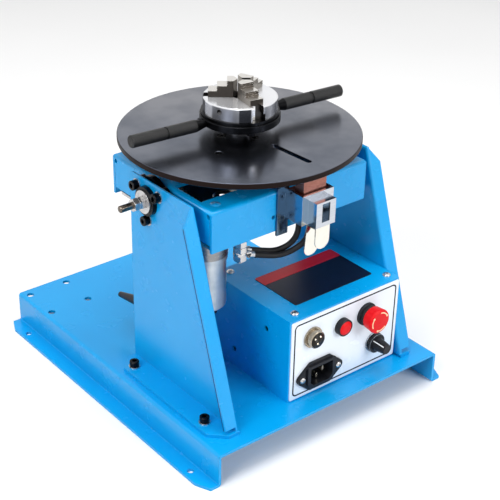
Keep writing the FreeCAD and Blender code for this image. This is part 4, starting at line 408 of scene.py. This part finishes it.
BLUE = powder_coat("blue_powder_coat", srgb(0, 154, 219), srgb(0, 148, 214))
WHITE = powder_coat("panel_white", srgb(226, 234, 243), srgb(222, 231, 241))
BLACK = moulded("black_moulding", srgb(22, 24, 29), 0.38, srgb(32, 34, 40))
RUBBER = moulded("black_rubber", srgb(24, 24, 26), 0.55, srgb(38, 38, 40), 2500.0, 0.2)
OXIDE = plain_metal("black_oxide", srgb(36, 37, 40), 0.3, srgb(20, 21, 23))
ZINC = plain_metal("bright_zinc", srgb(206, 204, 202), 0.24, srgb(178, 178, 180))


def dress(material, *names):
    for name in names:
        slots = nodes[name].material_slots
        if not slots:
            nodes[name].data.materials.append(material)
        for held in slots:
            held.material = material


dress(BLUE, "base_plate", "left_support", "right_support", "control_box", "box_lid", "cradle_tray")
dress(WHITE, "panel_plate")
dress(BLACK, "mains_inlet", "lamp_bezel", "stop_switch", "speed_knob", "stop_plunger", "handle_grip",
      "speed_potentiometer", "power_supply")
dress(RUBBER, "motor_boots", "pigtail_a", "pigtail_b")
dress(OXIDE, "trunnion_hubs", "m5_screws", "gearbox_screws", "table_screws", "scroll_ring")
dress(ZINC, "m5_washers", "m5_nuts", "m4_screws", "plate_pillars", "cradle_nuts", "trunnion_washers",
      "inlet_screws", "earth_stud", "cable_ends", "handle_rod", "motor_plate")
dress(table_finish(), "turntable")
dress(chuck_finish(), "chuck_body")
dress(jaw_finish(), "jaw_1", "jaw_2", "jaw_3")
dress(knurled_finish(), "lever_bars")
dress(holder_finish(), "brush_holder")
dress(cradle_screw_finish(), "cradle_screws")
dress(turned_metal("hub_steel", srgb(96, 96, 98), 0.28, srgb(70, 70, 72)), "chuck_hub")
dress(turned_metal("turned_steel", srgb(178, 176, 172), 0.30, srgb(150, 148, 146)),
      "spindle", "spindle_bearings", "bearing_housing", "driven_gear", "pinion", "brush_spring")
dress(plain_metal("clip_strip", srgb(232, 229, 220), 0.07, srgb(226, 223, 212)), "brush_clip")
dress(plain_metal("trunnion_steel", srgb(122, 112, 102), 0.24, srgb(84, 76, 68)), "trunnion_pins")
dress(plain_metal("socket_shell", srgb(176, 166, 150), 0.24, srgb(146, 136, 120)), "pedal_socket")
dress(plain_metal("motor_case", srgb(188, 196, 202), 0.42, srgb(172, 182, 190)), "motor_can")
dress(plain_metal("plated_contact", srgb(216, 212, 200), 0.25, srgb(190, 186, 174)), "contact_pins")
dress(brushed_metal("brushed_gearbox", srgb(156, 156, 156), 0.30, (60, 60, 4000), srgb(126, 126, 128)),
      "gearbox_case")
dress(brushed_metal("copper_block", srgb(168, 116, 104), 0.38, (300, 300, 3500), srgb(130, 84, 74)),
      "contact_brush")
dress(moulded("red_moulding", srgb(206, 0, 12), 0.42, srgb(214, 4, 16), 900.0, 0.05),
      "stop_button", "lamp_lens")
dress(moulded("liner_board", srgb(74, 30, 26), 0.5, srgb(90, 40, 34)), "brush_sleeve")
dress(moulded("circuit_board", srgb(22, 96, 52), 0.4, srgb(30, 110, 60)), "drive_board")


# ---- making trim ----------------------------------------------------------------------------
def shown(name, data):
    made = bpy.data.objects.new(name, data)
    bpy.context.collection.objects.link(made)
    return made


def solid(name, points, faces, material, body, smooth=False):
    mesh = bpy.data.meshes.new(name)
    mesh.from_pydata([tuple(value * MM for value in point) for point in points], [], faces)
    mesh.materials.append(material)
    for face in mesh.polygons:
        face.use_smooth = smooth
    made = shown(name, mesh)
    if body:
        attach(made, body)
    return made


def rounded(u0, u1, v0, v1, radius, steps=6):
    """Corners of a rounded rectangle, in order round it."""
    outline = []
    for cu, cv, start in ((u1 - radius, v0 + radius, -90), (u1 - radius, v1 - radius, 0),
                          (u0 + radius, v1 - radius, 90), (u0 + radius, v0 + radius, 180)):
        for step in range(steps + 1):
            angle = math.radians(start + 90 * step / steps)
            outline.append((cu + radius * math.cos(angle), cv + radius * math.sin(angle)))
    return outline


def prism_faces(count):
    """Faces between an outline of so many corners and the same outline further up."""
    sides = [(i, (i + 1) % count, count + (i + 1) % count, count + i) for i in range(count)]
    return [tuple(range(count))[::-1], tuple(range(count, 2 * count))] + sides


# faces of a box whose corners are counted with the last axis running fastest
BOX_FACES = [(0, 1, 3, 2), (4, 6, 7, 5), (0, 4, 5, 1), (2, 3, 7, 6), (0, 2, 6, 4), (1, 5, 7, 3)]


def prism(name, outline, low, high, place, material, body):
    """A flat piece: place turns (u, v, depth) into x, y and z."""
    points = [place(u, v, depth) for depth in (low, high) for u, v in outline]
    return solid(name, points, prism_faces(len(outline)), material, body)


def band(name, outer, inner, low, high, place, material, body):
    """A flat closed frame between two outlines with as many corners."""
    count = len(outer)
    points = [place(u, v, depth) for depth in (low, high) for u, v in outer + inner]
    faces = []
    for i in range(count):
        j = (i + 1) % count
        faces += [(i, count + i, count + j, j), (2 * count + i, 2 * count + j, 3 * count + j, 3 * count + i),
                  (i, j, 2 * count + j, 2 * count + i), (count + i, 3 * count + i, 3 * count + j, count + j)]
    return solid(name, points, faces, material, body)


def lathe(name, profile, place, material, body, steps=48):
    """A ring turned from (radius, depth) corners; place turns (u, v, depth) into x, y and z."""
    points = []
    faces = []
    count = len(profile)
    for step in range(steps):
        angle = 2 * math.pi * step / steps
        points += [place(r * math.cos(angle), r * math.sin(angle), depth) for r, depth in profile]
        after = (step + 1) % steps
        for i in range(count):
            j = (i + 1) % count
            faces.append((step * count + i, after * count + i, after * count + j, step * count + j))
    return solid(name, points, faces, material, body, smooth=True)


def on_panel(x, z):
    """Places pieces on the front panel: u to the right, v up, depth towards the user."""
    return lambda u, v, depth: (x + u, PANEL_FACE - depth, z + v)


def on_lid(u, v, depth):
    return (u, v, LID_FACE + depth)


def on_tray(x, y):
    return lambda u, v, depth: (x + u, y + v, TRAY_TOP + depth)


# ---- labels, socket, stop and knob ----------------------------------------------------------
GLOSS_BLACK = moulded("label_black", srgb(8, 14, 34), 0.3, srgb(12, 18, 40), 300.0, 0.02, specular=0.3)
GLOSS_RED = moulded("label_red", srgb(190, 18, 34), 0.3, srgb(198, 22, 40), 300.0, 0.02, specular=0.3)
INK = moulded("ink_black", srgb(12, 14, 26), 0.5, srgb(16, 18, 30), 900.0, 0.02, specular=0.1)
PALE = moulded("pale_marking", srgb(236, 206, 168), 0.4, srgb(228, 196, 156), 900.0, 0.05)
INSERT = moulded("socket_insert_black", srgb(20, 18, 14), 0.3, srgb(28, 26, 20), 900.0, 0.03)
PIN = plain_metal("socket_pin", srgb(226, 216, 196), 0.22, srgb(206, 196, 176))
RING = plain_metal("knob_ring_metal", srgb(150, 158, 168), 0.3, srgb(120, 128, 138))
LABEL_WHITE = moulded("label_white", srgb(226, 232, 236), 0.35, srgb(218, 226, 232), 900.0, 0.05)
# painted shadow colour for the gap behind the supports' front flanges
GAP_SHADOW_BLUE = moulded("gap_shadow_blue", srgb(0, 52, 104), 0.5, srgb(0, 60, 116), 900.0, 0.02)


def make_labels():
    """The lid's blank label with its red band, and the line round the panel."""
    prism("lid_label", rounded(-12, 75, -117, -63, 1.5), 0.0, 0.5, on_lid, GLOSS_BLACK, "base")
    prism("lid_label_band", rounded(-12.05, 75.05, -76.5, -62.95, 1.5), 0.5, 0.7, on_lid, GLOSS_RED, "base")
    band("panel_border", rounded(-28.9, 86.4, 35.3, 106.1, 4.4), rounded(-27.6, 85.1, 36.6, 104.8, 3.1),
         0.0, 0.12, on_panel(0, 0), INK, "base")


def make_socket():
    """The pedal socket's black insert and its three pins."""
    x, z = SOCKET_AT
    insert = ((0.0, 6.8), (7.1, 6.8), (7.1, 7.1), (0.0, 7.1))
    pin = ((0.0, 7.0), (0.95, 7.0), (0.95, 7.7), (0.6, 8.0), (0.0, 8.0))
    lathe("socket_insert", insert, on_panel(x, z), INSERT, "base")
    for number, (across, up) in enumerate(((2.2, 3.0), (-3.4, 2.4), (-0.6, -3.0))):
        lathe("socket_pin_%d" % number, pin, on_panel(x + across, z + up), PIN, "base", 20)


def make_stop():
    """Three pale arcs that show which way the stop's head twists, and the boot behind it."""
    radius, sweep, steps = 8.6, 68.0, 14
    for number, start in enumerate((20, 138, -112)):
        outer = []
        inner = []
        for step in range(steps + 1):
            angle = math.radians(start + sweep * step / steps)
            half = 0.9 if step in (1, 2) else 0.5
            for side, reach in ((outer, radius + half), (inner, radius - half)):
                side.append((reach * math.cos(angle), reach * math.sin(angle)))
        prism("stop_arc_%d" % number, outer + inner[::-1], 17.1, 17.45, on_panel(*STOP_AT), PALE, "stop_button")
    profile = ((8.6, 2.4), (9.5, 2.4), (9.2, 4.6), (9.6, 6.8), (8.6, 6.8))
    boot = lathe("stop_boot", profile, on_panel(*STOP_AT), RUBBER, None)
    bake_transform(boot)


def make_knob():
    """The speed knob's two bright rings, the ribs of its grip and its pointer line."""
    place = on_panel(*KNOB_AT)
    lathe("knob_ring", ((7.6, 0.0), (9.4, 0.0), (9.4, 0.8), (9.0, 1.1), (7.6, 1.1)), place, RING, "base")
    reach, inner, half, taper = 6.35, 4.75, 0.5, 0.74
    for number in range(12):
        angle = math.radians(30 * number + 15)
        corners = [(r * math.cos(angle) - h * math.sin(angle), r * math.sin(angle) + h * math.cos(angle))
                   for r, h in ((reach, -half), (reach, half), (inner, half), (inner, -half))]
        points = [place(u, v, 5.1) for u, v in corners]
        points += [place(u * taper, v * taper, 16.8) for u, v in corners]
        solid("knob_rib_%02d" % number, points, prism_faces(4), BLACK, "speed_knob")

    angle = math.radians(136)
    line = [(r * math.cos(angle) - h * math.sin(angle), r * math.sin(angle) + h * math.cos(angle), depth)
            for r, depth in ((6.7, 5.2), (5.15, 16.4)) for h in (-0.45, 0.45)]
    points = [place(*corner) for corner in line] + [place(u * 0.9, v * 0.9, depth) for u, v, depth in line]
    solid("knob_pointer", points, BOX_FACES, LABEL_WHITE, "speed_knob")
    lathe("knob_flange", ((8.6, 4.9), (8.95, 4.9), (8.95, 5.15), (8.6, 5.15)), place, RING, "speed_knob")


# ---- tray, supports, spring and leads -------------------------------------------------------
def opened_tray():
    """The cradle's tray with the window above the motor's pinion, which its solid doesn't have."""
    across, back, up = TRAY_WINDOW
    corners = [(x * MM, y * MM, z * MM) for x in across for y in back for z in up]
    cutter_mesh = bpy.data.meshes.new("tray_cutter")
    cutter_mesh.from_pydata(corners, [], BOX_FACES)
    cutter = shown("tray_cutter", cutter_mesh)
    tray = shown("tray_with_window", nodes["cradle_tray"].data.copy())
    cut = tray.modifiers.new("window", "BOOLEAN")
    cut.operation = "DIFFERENCE"
    cut.solver = "EXACT"
    cut.object = cutter
    bpy.context.view_layer.update()
    done = tray.evaluated_get(bpy.context.evaluated_depsgraph_get())
    mesh = bpy.data.meshes.new_from_object(done)
    tray.modifiers.clear()
    tray.data = mesh
    bpy.data.objects.remove(cutter)
    bpy.data.meshes.remove(cutter_mesh)
    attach(tray, "cradle")
    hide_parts("cradle_tray")


def tray_fillers():
    """Painted filler, flush over the tray's four countersunk screws."""
    disc = ((0.0, 0.0), (4.4, 0.0), (4.2, 0.12), (0.0, 0.15))
    pivot_y = TABLE_AXIS[1] / MM
    for number, (across, back) in enumerate(((-1, -1), (1, -1), (1, 1), (-1, 1))):
        place = on_tray(PILLAR_REACH[0] * across, pivot_y + PILLAR_REACH[1] * back)
        lathe("tray_filler_%d" % number, disc, place, BLUE, "cradle")


def flange_line(name, side):
    """A painted shadow line: the shade of the gap behind a support's front flange, drawn along its outer edge."""
    top = Vector((0, *SUPPORT_TOP))
    down = Vector((0, *SUPPORT_FOOT)) - top
    start, end = FLANGE_TAPER, down.length - FLANGE_RELIEF
    down.normalize()
    inward = Vector((0, -down.z, down.y))
    points = []
    for x in (side * FLANGE_EDGE_X, side * (FLANGE_EDGE_X + 0.08)):
        for along, depth in ((start, 2.0), (end, 2.0), (end, 3.0), (start, 3.0)):
            points.append(tuple(top + down * along + inward * depth + Vector((x, 0, 0))))
    faces = prism_faces(4)
    solid(name, points, [face[::-1] for face in faces] if side > 0 else faces, GAP_SHADOW_BLUE, "base")


def coil_spring():
    """The brush's spring: a copy of its part, put in the part's place while the part is hidden."""
    spring = shown("brush_coils", nodes["brush_spring"].data.copy())
    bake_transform(spring)
    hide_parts("brush_spring")


def lead(name, route, node):
    """A short welding lead from its lug on the stud up to its ferrule in the brush holder."""
    curve = bpy.data.curves.new(name, "CURVE")
    curve.dimensions = "3D"
    curve.bevel_depth = LEAD_DIAMETER / 2 * MM
    curve.bevel_resolution = 8
    curve.resolution_u = 24
    curve.use_fill_caps = True
    spline = curve.splines.new("NURBS")
    spline.points.add(len(route) - 1)
    for point, place in zip(spline.points, route):
        point.co = (place[0] * MM, place[1] * MM, place[2] * MM, 1.0)
    spline.order_u = 3
    spline.use_endpoint_u = True
    curve.materials.append(RUBBER)
    made = shown(name, curve)
    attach(made, "cradle")
    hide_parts(node)


make_labels()
make_socket()
make_stop()
make_knob()
opened_tray()
coil_spring()
flange_line("left_flange_line", -1)
flange_line("right_flange_line", 1)
tray_fillers()
lead("lead_a", ((-35.4, -83.6, 156.6), (-24.0, -84.6, 152.4), (-11.3, -88.4, 149.4), (-0.8, -94.6, 155.0),
                (2.8, -100.0, 167.0), (2.8, -100.0, 177.0)), "pigtail_a")
lead("lead_b", ((-37.0, -90.2, 155.4), (-26.0, -91.0, 151.4), (-11.2, -94.0, 147.6), (0.9, -100.2, 152.8),
                (8.3, -106.8, 163.7), (8.3, -106.8, 177.0)), "pigtail_b")


# ---- floor, light and camera ----------------------------------------------------------------
def make_floor():
    half = 3.0
    mesh = bpy.data.meshes.new("floor")
    mesh.from_pydata([(-half, -half, 0), (half, -half, 0), (half, half, 0), (-half, half, 0)], [], [(0, 1, 2, 3)])
    finish = Finish("floor_white", (0.86, 0.86, 0.86, 1), 0.9, specular=0.1)
    finish.vary_colour(finish.noise(3.0), (0.84, 0.84, 0.84, 1))
    mesh.materials.append(finish.material)
    shown("floor", mesh)


def make_world():
    """White where it is seen, mirrored or seen through, and dimmer as a light."""
    world = bpy.data.worlds.new("studio")
    bpy.context.scene.world = world
    world.use_nodes = True
    tree = world.node_tree
    light = tree.nodes["Background"]
    light.inputs["Color"].default_value = (1, 1, 1, 1)
    light.inputs["Strength"].default_value = 0.2
    seen = tree.nodes.new("ShaderNodeBackground")
    seen.inputs["Color"].default_value = (1, 1, 1, 1)
    seen.inputs["Strength"].default_value = 1.0
    path = tree.nodes.new("ShaderNodeLightPath")
    is_seen = path.outputs["Is Camera Ray"]
    for other in ("Is Glossy Ray", "Is Transmission Ray"):
        either = tree.nodes.new("ShaderNodeMath")
        either.operation = "MAXIMUM"
        tree.links.new(is_seen, either.inputs[0])
        tree.links.new(path.outputs[other], either.inputs[1])
        is_seen = either.outputs[0]
    mix = tree.nodes.new("ShaderNodeMixShader")
    tree.links.new(is_seen, mix.inputs["Fac"])
    tree.links.new(light.outputs[0], mix.inputs[1])
    tree.links.new(seen.outputs[0], mix.inputs[2])
    tree.links.new(mix.outputs[0], tree.nodes["World Output"].inputs["Surface"])


def lamp(name, place, target, size, power):
    light = bpy.data.lights.new(name, "AREA")
    light.shape = "SQUARE"
    light.size = size
    light.energy = power
    made = shown(name, light)
    made.location = place
    aim = Vector(target) - Vector(place)
    made.rotation_euler = aim.to_track_quat("-Z", "Y").to_euler()


def make_camera():
    """Standing to the left of the front and looking down at about 30 degrees."""
    azimuth = math.radians(-38.465)
    pitch = math.radians(-29.892)
    roll = math.radians(0.735)
    place = (-0.60971, -0.78020, 0.65803)
    ahead = Vector((-math.sin(azimuth) * math.cos(pitch), math.cos(azimuth) * math.cos(pitch), math.sin(pitch)))
    level = Vector((math.cos(azimuth), math.sin(azimuth), 0))
    upright = level.cross(ahead)
    right = level * math.cos(roll) + upright * math.sin(roll)
    up = upright * math.cos(roll) - level * math.sin(roll)
    data = bpy.data.cameras.new("camera")
    data.sensor_width = 36.0
    data.lens = 90.98
    data.shift_x = 0.0416
    data.shift_y = 0.0357
    data.clip_end = 20.0
    camera = shown("camera", data)
    camera.matrix_world = Matrix.Translation(place) @ Matrix((right, up, -ahead)).transposed().to_4x4()
    bpy.context.scene.camera = camera


make_floor()
make_world()
lamp("left", (-1.9, -0.5, 1.5), (0, 0, 0.12), 1.1, 33.0)
lamp("front", (0.7, -2.0, 1.1), (0, 0, 0.12), 1.2, 31.0)
lamp("top", (0.0, 0.1, 2.1), (0, 0, 0.15), 1.5, 38.0)
make_camera()
bpy.context.scene.view_settings.view_transform = "Standard"
